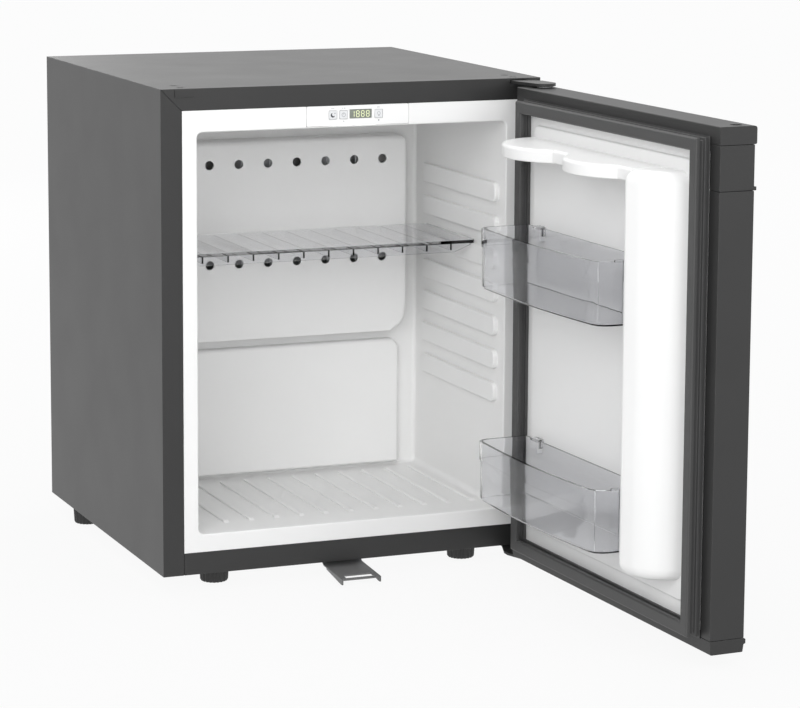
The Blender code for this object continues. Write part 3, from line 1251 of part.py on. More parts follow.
liner_z = (CAP_LOW_Z + 2 * GAP, CAP_TOP_Z - 2 * GAP)
hood_half = (HOOD_RIGHT - HOOD_LEFT - HOOD_GAP) / 4
hood_mids = (HOOD_RIGHT - hood_half, HOOD_LEFT + hood_half)
door_liner = box("door_liner", LINER_IN, WIDTH - LINER_IN, LINER_BACK, LINER_FACE, *liner_z)
join(
    door_liner,
    prism("liner_plateau", plateau_outline(0, 8), "y", LINER_BACK + GAP, PLATEAU_FACE, tool=True),
    pillar("liner_pillar", 0, False),
    hood_band("liner_band", 0, False),
    *[hood(f"liner_hood_{n + 1}", x, 0, False) for n, x in enumerate(hood_mids)],
)
cut(
    door_liner,
    prism("plateau_hollow", plateau_outline(LINER, 7), "y", LINER_BACK - THROUGH, PLATEAU_FACE - LINER,
          tool=True),
    pillar("pillar_hollow", FORM_WALL, True),
    hood_band("band_hollow", FORM_WALL, True),
    *[hood(f"hood_hollow_{n + 1}", x, FORM_WALL, True) for n, x in enumerate(hood_mids)],
)
lugs = []
lug_y = BIN_BACK - GAP
for bin_name, top in BIN_TOPS.items():
    for n, x in enumerate(HOOK_X):
        half_hook = HOOK_WIDE / 2 - 1
        stem_top = top - HOOK_DROP - GAP
        lugs.append(box(f"{bin_name}_lug_{n + 1}", x - half_hook, x + half_hook, PLATEAU_FACE - LINER / 2,
                        lug_y, stem_top - LUG_STEM, stem_top, tool=True))
        lugs.append(box(f"{bin_name}_lug_lip_{n + 1}", x - half_hook, x + half_hook, lug_y - LUG_LIP, lug_y,
                        stem_top - 1, top - HOOK_BRIDGE - GAP, tool=True))
join(door_liner, *lugs)
finish(door_liner, "white_plastic", door_axis)

core_y = (DOOR_OUTER + SHEET + GAP, LINER_BACK - GAP)
core_in = FORM_WALL + GAP
core = box("door_insulation", SHEET + GAP, WIDTH - SHEET - GAP, *core_y, CAP_LOW_Z + GAP, CAP_TOP_Z - GAP)
join(
    core,
    prism("plateau_core", plateau_outline(LINER + GAP, 6.7), "y", core_y[1] - 1, PLATEAU_FACE - LINER - GAP,
          tool=True),
    pillar("pillar_core", core_in, True),
    hood_band("band_core", core_in, True),
    *[hood(f"hood_core_{n + 1}", x, core_in, True) for n, x in enumerate(hood_mids)],
)
cut(core, box("core_grip_notch", -THROUGH, GRIP_WIDTH + GAP, door_y[0], core_y[1] + 0.05, GRIP_Z - GAP,
              DOOR_TOP, tool=True))
finish(core, "foam", door_axis)


# Door gasket, a bellows strip with mitred corners

low_y = LINER_FACE + GAP
high_y = -GAP
bead_y = low_y + GASKET_BEAD
head_y = high_y - GASKET_HEAD
neck = GASKET_NECK
slope = GASKET_SLOPE
strip = [(0, low_y), (GASKET_WIDE, low_y), (GASKET_WIDE, bead_y), (GASKET_WIDE - neck, bead_y + slope),
         (GASKET_WIDE - neck, head_y - slope), (GASKET_WIDE, head_y), (GASKET_WIDE, high_y - 1.1),
         (GASKET_WIDE - 1.2, high_y), (1.2, high_y), (0, high_y - 1.1), (0, head_y), (neck, head_y - slope),
         (neck, bead_y + slope), (0, bead_y)]
right_out = WIDTH - GASKET_IN
sections = []
for x, sx, z, sz in ((GASKET_IN, 1, GASKET_LOW, 1), (right_out, -1, GASKET_LOW, 1),
                     (right_out, -1, GASKET_HIGH, -1), (GASKET_IN, 1, GASKET_HIGH, -1)):
    sections.append([(x + sx * u, y, z + sz * u) for u, y in strip])
finish(lofted("door_gasket", sections, ring=True), "rubber", door_axis)


# Bushes that the hinge pins turn in


def bush(name, flange_z, shank_z):
    """A flanged bush. The flange is given first and the shank runs on to its end."""
    made = turned(name, [(BUSH_FLANGE_R, max(flange_z)), (BUSH_FLANGE_R, min(flange_z))],
                  (HINGE_X, HINGE_Y, 0), "z", 24)
    join(made, rod(name + "_shank", HINGE_X, HINGE_Y, min(shank_z), max(shank_z), BUSH_R, 20))
    spans = (*flange_z, *shank_z)
    cut(made, rod(name + "_bore", HINGE_X, HINGE_Y, min(spans) - THROUGH, max(spans) + THROUGH, PIN_R + GAP,
                  20))
    return finish(made, "grey_plastic", door_axis)


low_plate_top = -GAP - LOW_PLATE_DROP
bush("upper_hinge_bush", (DOOR_TOP + GAP, PLATE_Z - GAP), (CAP_TOP_Z + BUSH_FLOOR + 0.5, PLATE_Z - 2 * GAP))
bush("lower_hinge_bush", (low_plate_top + GAP, DOOR_BOTTOM - GAP), (low_plate_top + 2 * GAP,
                                                                  CAP_LOW_Z - BUSH_FLOOR))


# Door bins, which hook over the lugs of the door liner


def door_bin(name, top):
    low_z = top - BIN_HEIGHT
    at = empty(f"{name}_hang", (HOOK_X[0], BIN_BACK, top), door_axis)
    bow_span = BIN_RIGHT - BIN_LEFT - 26
    bow = [(BIN_LEFT + 14 + bow_span * n / 10, BIN_FRONT - BIN_BOW * (1 - math.sin(math.pi * n / 10)))
           for n in range(11)]
    plan = [(BIN_LEFT, BIN_BACK), (BIN_RIGHT, BIN_BACK), (BIN_RIGHT, BIN_FRONT - 16),
            (BIN_RIGHT - 2, BIN_FRONT - 10), (BIN_RIGHT - 6, BIN_FRONT - 6.4)]
    plan += list(reversed(bow)) + [(BIN_LEFT + 6, BIN_FRONT - 8), (BIN_LEFT + 1.5, BIN_FRONT - 14),
                                   (BIN_LEFT, BIN_FRONT - 20)]
    made = lofted(name, [[(x, y, low_z) for x, y in grown(plan, -BIN_WALL)],
                         [(x, y, low_z + 2.5) for x, y in plan],
                         [(x, y, top - BIN_BAND + 0.4) for x, y in plan]])
    wide_plan = [(x, max(y, BIN_BACK)) for x, y in grown(plan, BIN_BAND_OUT)]
    join(made, prism(f"{name}_band", wide_plan, "z", top - BIN_BAND, top, tool=True))
    cut(made, prism(f"{name}_hollow", grown(plan, -BIN_WALL), "z", low_z + BIN_WALL, top + THROUGH,
                    tool=True))
    leg_y = PLATEAU_FACE + 2 * GAP
    half_hook = HOOK_WIDE / 2
    hooks = []
    for n, x in enumerate(HOOK_X):
        hooks.append(box(f"{name}_bridge_{n + 1}", x - half_hook, x + half_hook, leg_y, BIN_BACK + 1,
                         top - HOOK_BRIDGE, top, tool=True))
        hooks.append(box(f"{name}_leg_{n + 1}", x - half_hook, x + half_hook, leg_y,
                         BIN_BACK - 2 * GAP - LUG_LIP, top - HOOK_DROP, top - 1, tool=True))
    join(made, *hooks)
    return finish(made, "clear_plastic", at)


for name, top in BIN_TOPS.items():
    door_bin(name, top)


# The door swings open, and the whole stands on its feet about the middle of its own outline

door_axis.rotation_euler = (0, 0, math.radians(DOOR_OPEN))
bpy.context.view_layer.update()
graph = bpy.context.evaluated_depsgraph_get()
lowest = [math.inf] * 3
highest = [-math.inf] * 3
for obj in fridge.objects:
    if obj.type != "MESH":
        continue
    solid = obj.evaluated_get(graph)
    mesh = solid.to_mesh()
    for vertex in mesh.vertices:
        place = solid.matrix_world @ vertex.co
        lowest = [min(a, b) for a, b in zip(lowest, place)]
        highest = [max(a, b) for a, b in zip(highest, place)]
    solid.to_mesh_clear()
root.location = (-(lowest[0] + highest[0]) / 2, -(lowest[1] + highest[1]) / 2, -lowest[2])
bpy.context.view_layer.update()
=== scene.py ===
import math

import bmesh
import bpy
from mathutils import Matrix, Vector


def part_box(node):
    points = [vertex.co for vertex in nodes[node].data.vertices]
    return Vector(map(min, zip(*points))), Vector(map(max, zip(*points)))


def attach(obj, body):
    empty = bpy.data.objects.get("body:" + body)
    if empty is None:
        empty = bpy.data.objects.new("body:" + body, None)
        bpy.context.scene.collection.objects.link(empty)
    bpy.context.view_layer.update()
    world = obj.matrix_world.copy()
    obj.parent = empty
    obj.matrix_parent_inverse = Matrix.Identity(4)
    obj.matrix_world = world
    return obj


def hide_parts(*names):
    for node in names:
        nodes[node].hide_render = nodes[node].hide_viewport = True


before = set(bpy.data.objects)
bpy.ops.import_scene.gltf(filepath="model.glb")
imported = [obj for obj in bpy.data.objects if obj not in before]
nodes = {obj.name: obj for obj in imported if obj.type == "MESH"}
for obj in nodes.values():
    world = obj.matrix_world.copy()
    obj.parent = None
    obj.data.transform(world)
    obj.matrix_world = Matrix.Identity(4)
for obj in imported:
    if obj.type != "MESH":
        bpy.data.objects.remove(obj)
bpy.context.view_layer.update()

mm = 0.001

# the cabinet's front bottom left corner is the zero of every drawing below, in millimetres
zero = Vector(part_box("left_side_panel")[0])
bushLow, bushHigh = (Vector(corner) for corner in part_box("upper_hinge_bush"))
hingeAxis = (bushLow + bushHigh) / 2 - zero
doorOpen = math.radians(92)


# tools for modelling by hand

def leaveEdit():
    bpy.ops.object.mode_set(mode="OBJECT")


def deselectAll():
    if bpy.context.mode != "OBJECT":
        leaveEdit()
    bpy.ops.object.select_all(action="DESELECT")


def makeActive(piece):
    deselectAll()
    piece.select_set(True)
    bpy.context.view_layer.objects.active = piece


def editAll(piece):
    makeActive(piece)
    bpy.ops.object.mode_set(mode="EDIT")
    bpy.ops.mesh.select_all(action="SELECT")


def applyAll(piece):
    makeActive(piece)
    for modifier in list(piece.modifiers):
        bpy.ops.object.modifier_apply(modifier=modifier.name)


def named(name):
    piece = bpy.context.object
    piece.name = name
    bpy.ops.object.transform_apply(location=True, rotation=True, scale=True)
    return piece


def addBlock(name, x, y, z):
    deselectAll()
    middle = [(span[0] + span[1]) / 2 * mm for span in (x, y, z)]
    size = [(span[1] - span[0]) * mm for span in (x, y, z)]
    bpy.ops.mesh.primitive_cube_add(size=1, location=middle, scale=size)
    return named(name)


def addRound(name, radius, length, middle, axis="z", sides=48, tip=None):
    deselectAll()
    turn = {"x": (0, math.pi / 2, 0), "y": (math.pi / 2, 0, 0), "z": (0, 0, 0)}[axis]
    place = [value * mm for value in middle]
    if tip is None:
        bpy.ops.mesh.primitive_cylinder_add(vertices=sides, radius=radius * mm, depth=length * mm,
                                            location=place, rotation=turn)
    else:
        bpy.ops.mesh.primitive_cone_add(vertices=sides, radius1=radius * mm, radius2=tip * mm,
                                        depth=length * mm, location=place, rotation=turn)
    return named(name)


def middleOf(element):
    points = [vert.co for vert in getattr(element, "verts", [element])]
    return sum(points, Vector()) / len(points) / mm


def pick(piece, kind, test):
    makeActive(piece)
    bpy.ops.object.mode_set(mode="EDIT")
    bpy.ops.mesh.select_mode(type=kind)
    bpy.ops.mesh.select_all(action="DESELECT")
    mesh = bmesh.from_edit_mesh(piece.data)
    for element in {"VERT": mesh.verts, "EDGE": mesh.edges, "FACE": mesh.faces}[kind]:
        if test(element):
            element.select_set(True)
    mesh.select_flush_mode()
    bmesh.update_edit_mesh(piece.data)


def alongAxis(edge, axis):
    run = edge.verts[1].co - edge.verts[0].co
    return abs(run["xyz".index(axis)]) > 0.98 * run.length


def roundEdges(piece, width, segments, test):
    pick(piece, "EDGE", test)
    bpy.ops.mesh.bevel(offset=width * mm, segments=segments, affect="EDGES")
    leaveEdit()


def movePicked(piece, kind, step, test):
    pick(piece, kind, test)
    bpy.ops.transform.translate(value=[value * mm for value in step])
    leaveEdit()


def dropFaces(piece, test):
    pick(piece, "FACE", test)
    bpy.ops.mesh.delete(type="FACE")
    leaveEdit()


def copyOf(piece, name, step):
    makeActive(piece)
    bpy.ops.object.duplicate_move(TRANSFORM_OT_translate={"value": [value * mm for value in step]})
    return named(name)


def joinAll(piece, others):
    deselectAll()
    for other in others:
        other.select_set(True)
    piece.select_set(True)
    bpy.context.view_layer.objects.active = piece
    bpy.ops.object.join()
    return piece


def carve(piece, cutter, operation="DIFFERENCE"):
    change = piece.modifiers.new("carve", "BOOLEAN")
    change.operation = operation
    change.solver = "EXACT"
    change.object = cutter
    applyAll(piece)
    bpy.data.objects.remove(cutter, do_unlink=True)
    return piece


def soften(piece, width, segments=2, angle=32):
    bevel = piece.modifiers.new("softEdges", "BEVEL")
    bevel.width = width * mm
    bevel.segments = segments
    bevel.limit_method = "ANGLE"
    bevel.angle_limit = math.radians(angle)
    applyAll(piece)
    return shade(piece)


def shade(piece, smooth=36):
    makeActive(piece)
    bpy.ops.object.shade_smooth_by_angle(angle=math.radians(smooth))
    level = piece.modifiers.new("evenShading", "WEIGHTED_NORMAL")
    level.keep_sharp = True
    applyAll(piece)
    return piece


def settle(piece, onDoor=False):
    # from the drawing's zero to the frame, and round the hinge for what is on the door
    editAll(piece)
    if onDoor:
        # without a window this operator turns the other way
        bpy.ops.transform.rotate(value=-doorOpen, orient_axis="Z", center_override=hingeAxis)
    bpy.ops.transform.translate(value=zero)
    leaveEdit()
    return piece


def dress(piece, finish, body, slot, *replaced):
    piece.data.materials.clear()
    piece.data.materials.append(paints[finish])
    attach(piece, body)
    if replaced:
        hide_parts(*replaced)
    return piece


def nodeCopy(nodeName):
    words = nodeName.split("_")
    piece = bpy.data.objects.new(words[0] + "".join(word.title() for word in words[1:]),
                                 nodes[nodeName].data.copy())
    bpy.context.scene.collection.objects.link(piece)
    editAll(piece)
    bpy.ops.mesh.remove_doubles(threshold=0.002 * mm)
    leaveEdit()
    return piece


def bentRoute(corners, bend, steps=8):
    # the corner points with each inner corner on an arc
    points = [Vector(corners[0])]
    for before, here, after in zip(corners, corners[1:], corners[2:]):
        toBefore = (Vector(before) - Vector(here)).normalized()
        toAfter = (Vector(after) - Vector(here)).normalized()
        half = toBefore.angle(toAfter) / 2
        reach = min(bend / math.tan(half), 0.49 * (Vector(before) - Vector(here)).length,
                    0.49 * (Vector(after) - Vector(here)).length)
        radius = reach * math.tan(half)
        centre = Vector(here) + (toBefore + toAfter).normalized() * radius / math.sin(half)
        first = Vector(here) + toBefore * reach - centre
        last = Vector(here) + toAfter * reach - centre
        sweep = first.angle(last)
        for n in range(steps + 1):
            near = math.sin((1 - n / steps) * sweep)
            far = math.sin(n / steps * sweep)
            points.append(centre + (first * near + last * far) / math.sin(sweep))
    return points + [Vector(corners[-1])]


def addPipe(name, corners, radius, bend):
    curve = bpy.data.curves.new(name, "CURVE")
    curve.dimensions = "3D"
    curve.bevel_depth = radius * mm
    curve.bevel_resolution = 6
    curve.use_fill_caps = True
    route = bentRoute(corners, bend)
    spline = curve.splines.new("POLY")
    spline.points.add(len(route) - 1)
    for point, place in zip(spline.points, route):
        point.co = (*(place * mm), 1)
    piece = bpy.data.objects.new(name, curve)
    bpy.context.scene.collection.objects.link(piece)
    makeActive(piece)
    bpy.ops.object.convert(target="MESH")
    piece = bpy.context.object
    editAll(piece)
    bpy.ops.mesh.remove_doubles(threshold=0.002 * mm)
    bpy.ops.mesh.normals_make_consistent(inside=False)
    leaveEdit()
    return piece


# materials

def fillInputs(tree, node, inputs):
    # an input is a value of its own or another node's output
    for socket, value in inputs.items():
        if isinstance(value, bpy.types.NodeSocket):
            tree.links.new(value, node.inputs[socket])
        else:
            node.inputs[socket].default_value = value
    return node


def addNode(tree, kind, inputs=None, operation=None):
    node = tree.nodes.new("ShaderNode" + kind)
    if operation:
        node.operation = operation
    return fillInputs(tree, node, inputs or {})


def addGroup(tree, group, inputs):
    node = tree.nodes.new("ShaderNodeGroup")
    node.node_tree = group
    return fillInputs(tree, node, inputs)


def layerOver(tree, mask, under, over):
    mix = tree.nodes.new("ShaderNodeMix")
    mix.data_type = "RGBA"
    return fillInputs(tree, mix, {"Factor": mask, "A": under, "B": over}).outputs["Result"]


def nodeGroup(name, inputs, outputs):
    group = bpy.data.node_groups.new(name, "ShaderNodeTree")
    for label, value in inputs.items():
        kind = "NodeSocketVector" if isinstance(value, tuple) else "NodeSocketFloat"
        group.interface.new_socket(label, in_out="INPUT", socket_type=kind).default_value = value
    for label in outputs:
        group.interface.new_socket(label, in_out="OUTPUT", socket_type="NodeSocketFloat")
    return group, group.nodes.new("NodeGroupInput"), group.nodes.new("NodeGroupOutput")


def makeFineGrain():
    # the moulded or sprayed grain of a surface, its patchy gloss and its slow change of tone
    group, start, end = nodeGroup(
        "fineGrain", {"Scale": 900.0, "Stretch": (1, 1, 1), "Roughness": 0.4, "Spread": 0.08},
        ["Height", "Roughness", "Patches"])
    place = addNode(group, "TexCoord")
    stretched = addNode(group, "VectorMath", {0: place.outputs["Object"], 1: start.outputs["Stretch"]},
                        "MULTIPLY")
    fine = addNode(group, "TexNoise", {"Vector": stretched.outputs[0], "Scale": start.outputs["Scale"],
                                       "Detail": 3})
    broad = addNode(group, "TexNoise", {"Vector": place.outputs["Object"], "Scale": 14, "Detail": 5})
    gloss = addNode(group, "Math", {0: broad.outputs["Fac"], 1: start.outputs["Spread"],
                                    2: start.outputs["Roughness"]}, "MULTIPLY_ADD")
    fillInputs(group, end, {"Height": fine.outputs["Fac"], "Roughness": gloss.outputs[0],
                            "Patches": broad.outputs["Fac"]})
    return group


def makeEdgeWear():
    # white where the surface turns a corner, broken up so that the wear isn't a clean line
    group, start, end = nodeGroup("edgeWear", {"Amount": 1.0}, ["Mask"])
    eased = addNode(group, "Bevel", {"Radius": 0.0008})
    eased.samples = 4
    surface = addNode(group, "NewGeometry")
    turned = addNode(group, "VectorMath", {0: eased.outputs["Normal"], 1: surface.outputs["Normal"]},
                     "DOT_PRODUCT")
    corner = addNode(group, "MapRange", {"Value": turned.outputs["Value"], "From Min": 0.995,
                                         "From Max": 0.9, "To Max": start.outputs["Amount"]})
    place = addNode(group, "TexCoord")
    broken = addNode(group, "TexNoise", {"Vector": place.outputs["Object"], "Scale": 160})
    rub = addNode(group, "Math", {0: corner.outputs["Result"], 1: broken.outputs["Fac"]}, "MULTIPLY")
    fillInputs(group, end, {"Mask": rub.outputs[0]})
    return group


def makeDust():
    # a thin film of dust on what faces up, in soft patches
    group, start, end = nodeGroup("lyingDust", {"Amount": 0.2}, ["Mask"])
    surface = addNode(group, "NewGeometry")
    part = addNode(group, "SeparateXYZ", {0: surface.outputs["Normal"]})
    facing = addNode(group, "MapRange", {"Value": part.outputs["Z"], "From Min": 0.6, "From Max": 1.0,
                                         "To Max": start.outputs["Amount"]})
    place = addNode(group, "TexCoord")
    patches = addNode(group, "TexNoise", {"Vector": place.outputs["Object"], "Scale": 22, "Detail": 6})
    film = addNode(group, "Math", {0: facing.outputs["Result"], 1: patches.outputs["Fac"]}, "MULTIPLY")
    fillInputs(group, end, {"Mask": film.outputs[0]})
    return group


fineGrain = makeFineGrain()
edgeWear = makeEdgeWear()
lyingDust = makeDust()
dustColour = (0.42, 0.41, 0.39, 1)


def finishMaterial(name, look):
    material = bpy.data.materials.new(name)
    material.use_nodes = True
    tree = material.node_tree
    shader = fillInputs(tree, tree.nodes["Principled BSDF"], look.get("sockets", {}))
    grain = addGroup(tree, fineGrain, {"Scale": look["grain"], "Stretch": look.get("stretch", (1, 1, 1)),
                                       "Roughness": look["roughness"], "Spread": look.get("spread", 0.08)})
    bump = addNode(tree, "Bump", {"Height": grain.outputs["Height"], "Strength": look["bump"],
                                  "Distance": look.get("depth", 0.0001)})
    colour = layerOver(tree, grain.outputs["Patches"], (*look["colour"], 1), (*look["patch"], 1))
    if "edge" in look:
        wear = addGroup(tree, edgeWear, {"Amount": look["edgeAmount"]})
        colour = layerOver(tree, wear.outputs["Mask"], colour, (*look["edge"], 1))
    if "dust" in look:
        film = addGroup(tree, lyingDust, {"Amount": look["dust"]})
        colour = layerOver(tree, film.outputs["Mask"], colour, dustColour)
    fillInputs(tree, shader, {"Base Color": colour, "Roughness": grain.outputs["Roughness"],
                              "Normal": bump.outputs["Normal"]})
    return material


looks = {
    "blackPaint": dict(colour=(0.015, 0.015, 0.015), patch=(0.020, 0.020, 0.020), roughness=0.36,
                       grain=1500, bump=0.22, edge=(0.10, 0.10, 0.10), edgeAmount=0.35, dust=0.05),
    "blackPlastic": dict(colour=(0.013, 0.013, 0.013), patch=(0.019, 0.019, 0.019), roughness=0.42,
                         grain=2200, bump=0.25, edge=(0.06, 0.06, 0.06), edgeAmount=0.4),
    "blackRubber": dict(colour=(0.044, 0.044, 0.044), patch=(0.060, 0.060, 0.060), roughness=0.46,
                        grain=1600, bump=0.15),
    "whiteLiner": dict(colour=(0.885, 0.885, 0.88), patch=(0.86, 0.86, 0.855), roughness=0.26,
                       grain=260, bump=0.03, spread=0.10),
    "whitePanel": dict(colour=(0.89, 0.89, 0.887), patch=(0.87, 0.87, 0.867), roughness=0.34, grain=900,
                       bump=0.06),
    "greyPlastic": dict(colour=(0.62, 0.63, 0.64), patch=(0.57, 0.58, 0.59), roughness=0.42, grain=1800,
                        bump=0.12),
    "keyPlastic": dict(colour=(0.76, 0.77, 0.78), patch=(0.72, 0.73, 0.74), roughness=0.36, grain=1800,
                       bump=0.10),
    "darkPrint": dict(colour=(0.06, 0.06, 0.07), patch=(0.09, 0.09, 0.10), roughness=0.5, grain=1500,
                      bump=0.05),
    "greyPrint": dict(colour=(0.30, 0.31, 0.33), patch=(0.36, 0.37, 0.38), roughness=0.5, grain=1500,
                      bump=0.05),
    "zincSheet": dict(colour=(0.58, 0.60, 0.62), patch=(0.42, 0.44, 0.46), roughness=0.34, grain=90,
                      bump=0.05, spread=0.2, dust=0.25, sockets={"Metallic": 1.0}),
    "barAluminium": dict(colour=(0.75, 0.76, 0.77), patch=(0.64, 0.65, 0.66), roughness=0.30,
                         grain=600, stretch=(1, 1, 8), bump=0.08, dust=0.2, sockets={"Metallic": 1.0}),
    "blackEnamel": dict(colour=(0.020, 0.020, 0.021), patch=(0.035, 0.034, 0.033), roughness=0.30,
                        grain=420, bump=0.12, spread=0.2, dust=0.3),
    # the foam is painted dark graphite grey, partly as a foam of that colour and partly as painted shade, so
    # that the seams where it shows between panels read dark
    "graphiteFoamSeamShade": dict(colour=(0.040, 0.040, 0.042), patch=(0.060, 0.060, 0.062), roughness=0.9, grain=500,
                      bump=0.7, depth=0.0004),
    "boardGreen": dict(colour=(0.02, 0.14, 0.06), patch=(0.03, 0.18, 0.08), roughness=0.36, grain=700,
                       bump=0.05),
    "cableJacket": dict(colour=(0.018, 0.018, 0.019), patch=(0.03, 0.03, 0.03), roughness=0.5,
                        grain=900, bump=0.1),
    "clearPlastic": dict(colour=(0.955, 0.957, 0.968), patch=(0.930, 0.933, 0.950), roughness=0.02,
                         grain=300, bump=0.01, spread=0.04,
                         sockets={"Transmission Weight": 1.0, "IOR": 1.35}),
    "lampLens": dict(colour=(0.90, 0.93, 0.95), patch=(0.86, 0.90, 0.93), roughness=0.30, grain=1200,
                     bump=0.1, sockets={"Transmission Weight": 0.6, "IOR": 1.46,
                                        "Emission Color": (1.0, 0.98, 0.94, 1), "Emission Strength": 1.5}),
    "displayGlass": dict(colour=(0.20, 0.22, 0.19), patch=(0.24, 0.26, 0.22), roughness=0.10,
                         grain=300, bump=0.01, spread=0.02),
    "litSegment": dict(colour=(0.80, 0.84, 0.52), patch=(0.74, 0.78, 0.46), roughness=0.4, grain=900,
                       bump=0.02, sockets={"Emission Color": (0.86, 0.90, 0.55, 1),
                                           "Emission Strength": 0.35}),
    "greyPaint": dict(colour=(0.17, 0.17, 0.17), patch=(0.13, 0.13, 0.13), roughness=0.34, grain=700,
                      bump=0.08, spread=0.12),
    "darkNickel": dict(colour=(0.20, 0.20, 0.20), patch=(0.12, 0.12, 0.12), roughness=0.26, grain=500,
                       bump=0.05, spread=0.15, sockets={"Metallic": 1.0}),
}
paints = {name: finishMaterial(name, look) for name, look in looks.items()}
print("materials are ready")

# cold box

def growRim(piece, x, z):
    # the open rim grows outwards in its own plane until it fills the given spans
    pick(piece, "EDGE", lambda edge: edge.is_boundary)
    bpy.ops.mesh.extrude_region_move()
    mesh = bmesh.from_edit_mesh(piece.data)
    points = [vert.co for vert in mesh.verts if vert.select]
    low = Vector([min(point[axis] for point in points) for axis in range(3)])
    high = Vector([max(point[axis] for point in points) for axis in range(3)])
    scale = Vector((1, 1, 1))
    step = Vector((0, 0, 0))
    for axis, span in ((0, x), (2, z)):
        scale[axis] = (span[1] - span[0]) * mm / (high[axis] - low[axis])
        step[axis] = (span[0] + span[1]) / 2 * mm - (low[axis] + high[axis]) / 2
    bpy.ops.transform.resize(value=scale, center_override=(low + high) / 2)
    bpy.ops.transform.translate(value=step)
    leaveEdit()


def thicken(piece, wall):
    change = piece.modifiers.new("wall", "SOLIDIFY")
    change.thickness = wall * mm
    change.offset = -1
    change.use_even_offset = True
    applyAll(piece)


boxSize = dict(x=(37, 365), z=(40, 439), front=0.2, back=236, corner=6, backCorner=4, rim=1.6,
               strip=3, flangeX=(21.8, 380.2), flangeZ=(22.3, 460.4), wall=1.1, cut=14, middle=201)
linerHoles = [("pipeOpening", 6.5, 171, 300), ("pipeOpening", 6.5, 231, 300), ("drainOpening", 4.6, 201, 203),
              ("leadOpening", 2.2, 318.5, 252)]
ledgeSize = dict(x=(36.6, 42), y=(16, 205), z=(147, 167), corner=7.5, edge=1.6, rise=34.5, count=7)
ribSize = dict(x=(49.9, 55.1), y=(36, 212), z=(39, 42), ramp=9, round=1.7, pitch=27, count=12)
padSize = dict(x=(60, 342), y=(226, 237), z=(44, 181), corner=12, edge=4)


def makeInnerLiner():
    size = boxSize
    liner = addBlock("innerLiner", size["x"], (size["front"], size["back"]), size["z"])
    roundEdges(liner, size["corner"], 6, lambda edge: alongAxis(edge, "y"))
    dropFaces(liner, lambda face: middleOf(face).y < size["front"] + 0.1)
    roundEdges(liner, size["backCorner"], 5,
               lambda edge: middleOf(edge).y > size["back"] - 0.1 and edge.calc_face_angle(0) > 1)
    pick(liner, "FACE", lambda face: True)
    bpy.ops.mesh.flip_normals()
    leaveEdit()
    growRim(liner, (size["x"][0] - size["strip"], size["x"][1] + size["strip"]),
            (size["z"][0] - size["strip"], size["z"][1] + size["strip"]))
    growRim(liner, size["flangeX"], size["flangeZ"])
    for x in size["flangeX"]:
        for z in size["flangeZ"]:
            corner = Vector((x * mm, size["front"] * mm, z * mm))
            pick(liner, "VERT",
                 lambda vert: vert.is_boundary and (vert.co - corner).length < size["cut"] * mm)
            bpy.ops.transform.resize(value=(0, 1, 0), center_override=corner)
            bpy.ops.mesh.remove_doubles(threshold=0.01 * mm)
            leaveEdit()
    roundEdges(liner, size["rim"], 4, lambda edge: edge.calc_face_angle(0) > 1 and middleOf(edge).y < 1)
    thicken(liner, size["wall"])
    cutters = [addBlock("linerCutter", (149.7, 258.3), (-6, 3), (440.3, 470)),
               addBlock("lampOpening", (180, 228), (9, 23), (434, 446))]
    cutters += [addRound(name, radius, 20, (x, size["back"], z), "y") for name, radius, x, z in linerHoles]
    carve(liner, joinAll(cutters[0], cutters[1:]))

    # ledges for the shelf: one is made and copied up the wall, and the wall's set over to the other wall
    size = ledgeSize
    ledge = addBlock("shelfLedge", size["x"], size["y"], size["z"])
    roundEdges(ledge, size["corner"], 6, lambda edge: alongAxis(edge, "x") and middleOf(edge).y < 20)
    roundEdges(ledge, size["edge"], 3, lambda edge: middleOf(edge).x > size["x"][1] - 0.1)
    leftLedges = [copyOf(ledge, "shelfLedge", (0, 0, size["rise"] * n)) for n in range(1, size["count"])]
    joinAll(ledge, leftLedges)
    opposite = copyOf(ledge, "shelfLedgesRight", (0, 0, 0))
    editAll(opposite)
    bpy.ops.transform.mirror(constraint_axis=(True, False, False),
                             center_override=(boxSize["middle"] * mm, 0, 0))
    bpy.ops.mesh.normals_make_consistent(inside=False)
    leaveEdit()

    size = ribSize
    rib = addBlock("floorRib", size["x"], size["y"], size["z"])
    movePicked(rib, "VERT", (0, size["ramp"], 0), lambda vert: vert.co.y < 40 * mm and vert.co.z > 41 * mm)
    roundEdges(rib, size["round"], 4, lambda edge: middleOf(edge).z > size["z"][1] - 0.1)
    ribs = [rib] + [copyOf(rib, "floorRib", (size["pitch"] * n, 0, 0)) for n in range(1, size["count"])]

    size = padSize
    pad = addBlock("backPad", size["x"], size["y"], size["z"])
    roundEdges(pad, size["corner"], 8, lambda edge: alongAxis(edge, "y") and middleOf(edge).z > 180)
    roundEdges(pad, size["edge"], 5, lambda edge: middleOf(edge).y < size["y"][0] + 0.1)

    joinAll(liner, [ledge, opposite, pad] + ribs)
    return shade(liner, 34)


innerLiner = settle(makeInnerLiner())
dress(innerLiner, "whiteLiner", "cabinet", "white_plastic", "inner_liner")

coverSize = dict(x=(58, 344), y=(208, 235.7), z=(192, 404), bend=222, slope=7, wall=1.8, hole=4.7,
                 pitch=32.4, rows=(274.5, 380), first=87.6, count=8, highCorner=9, lowCorner=18, fold=5)


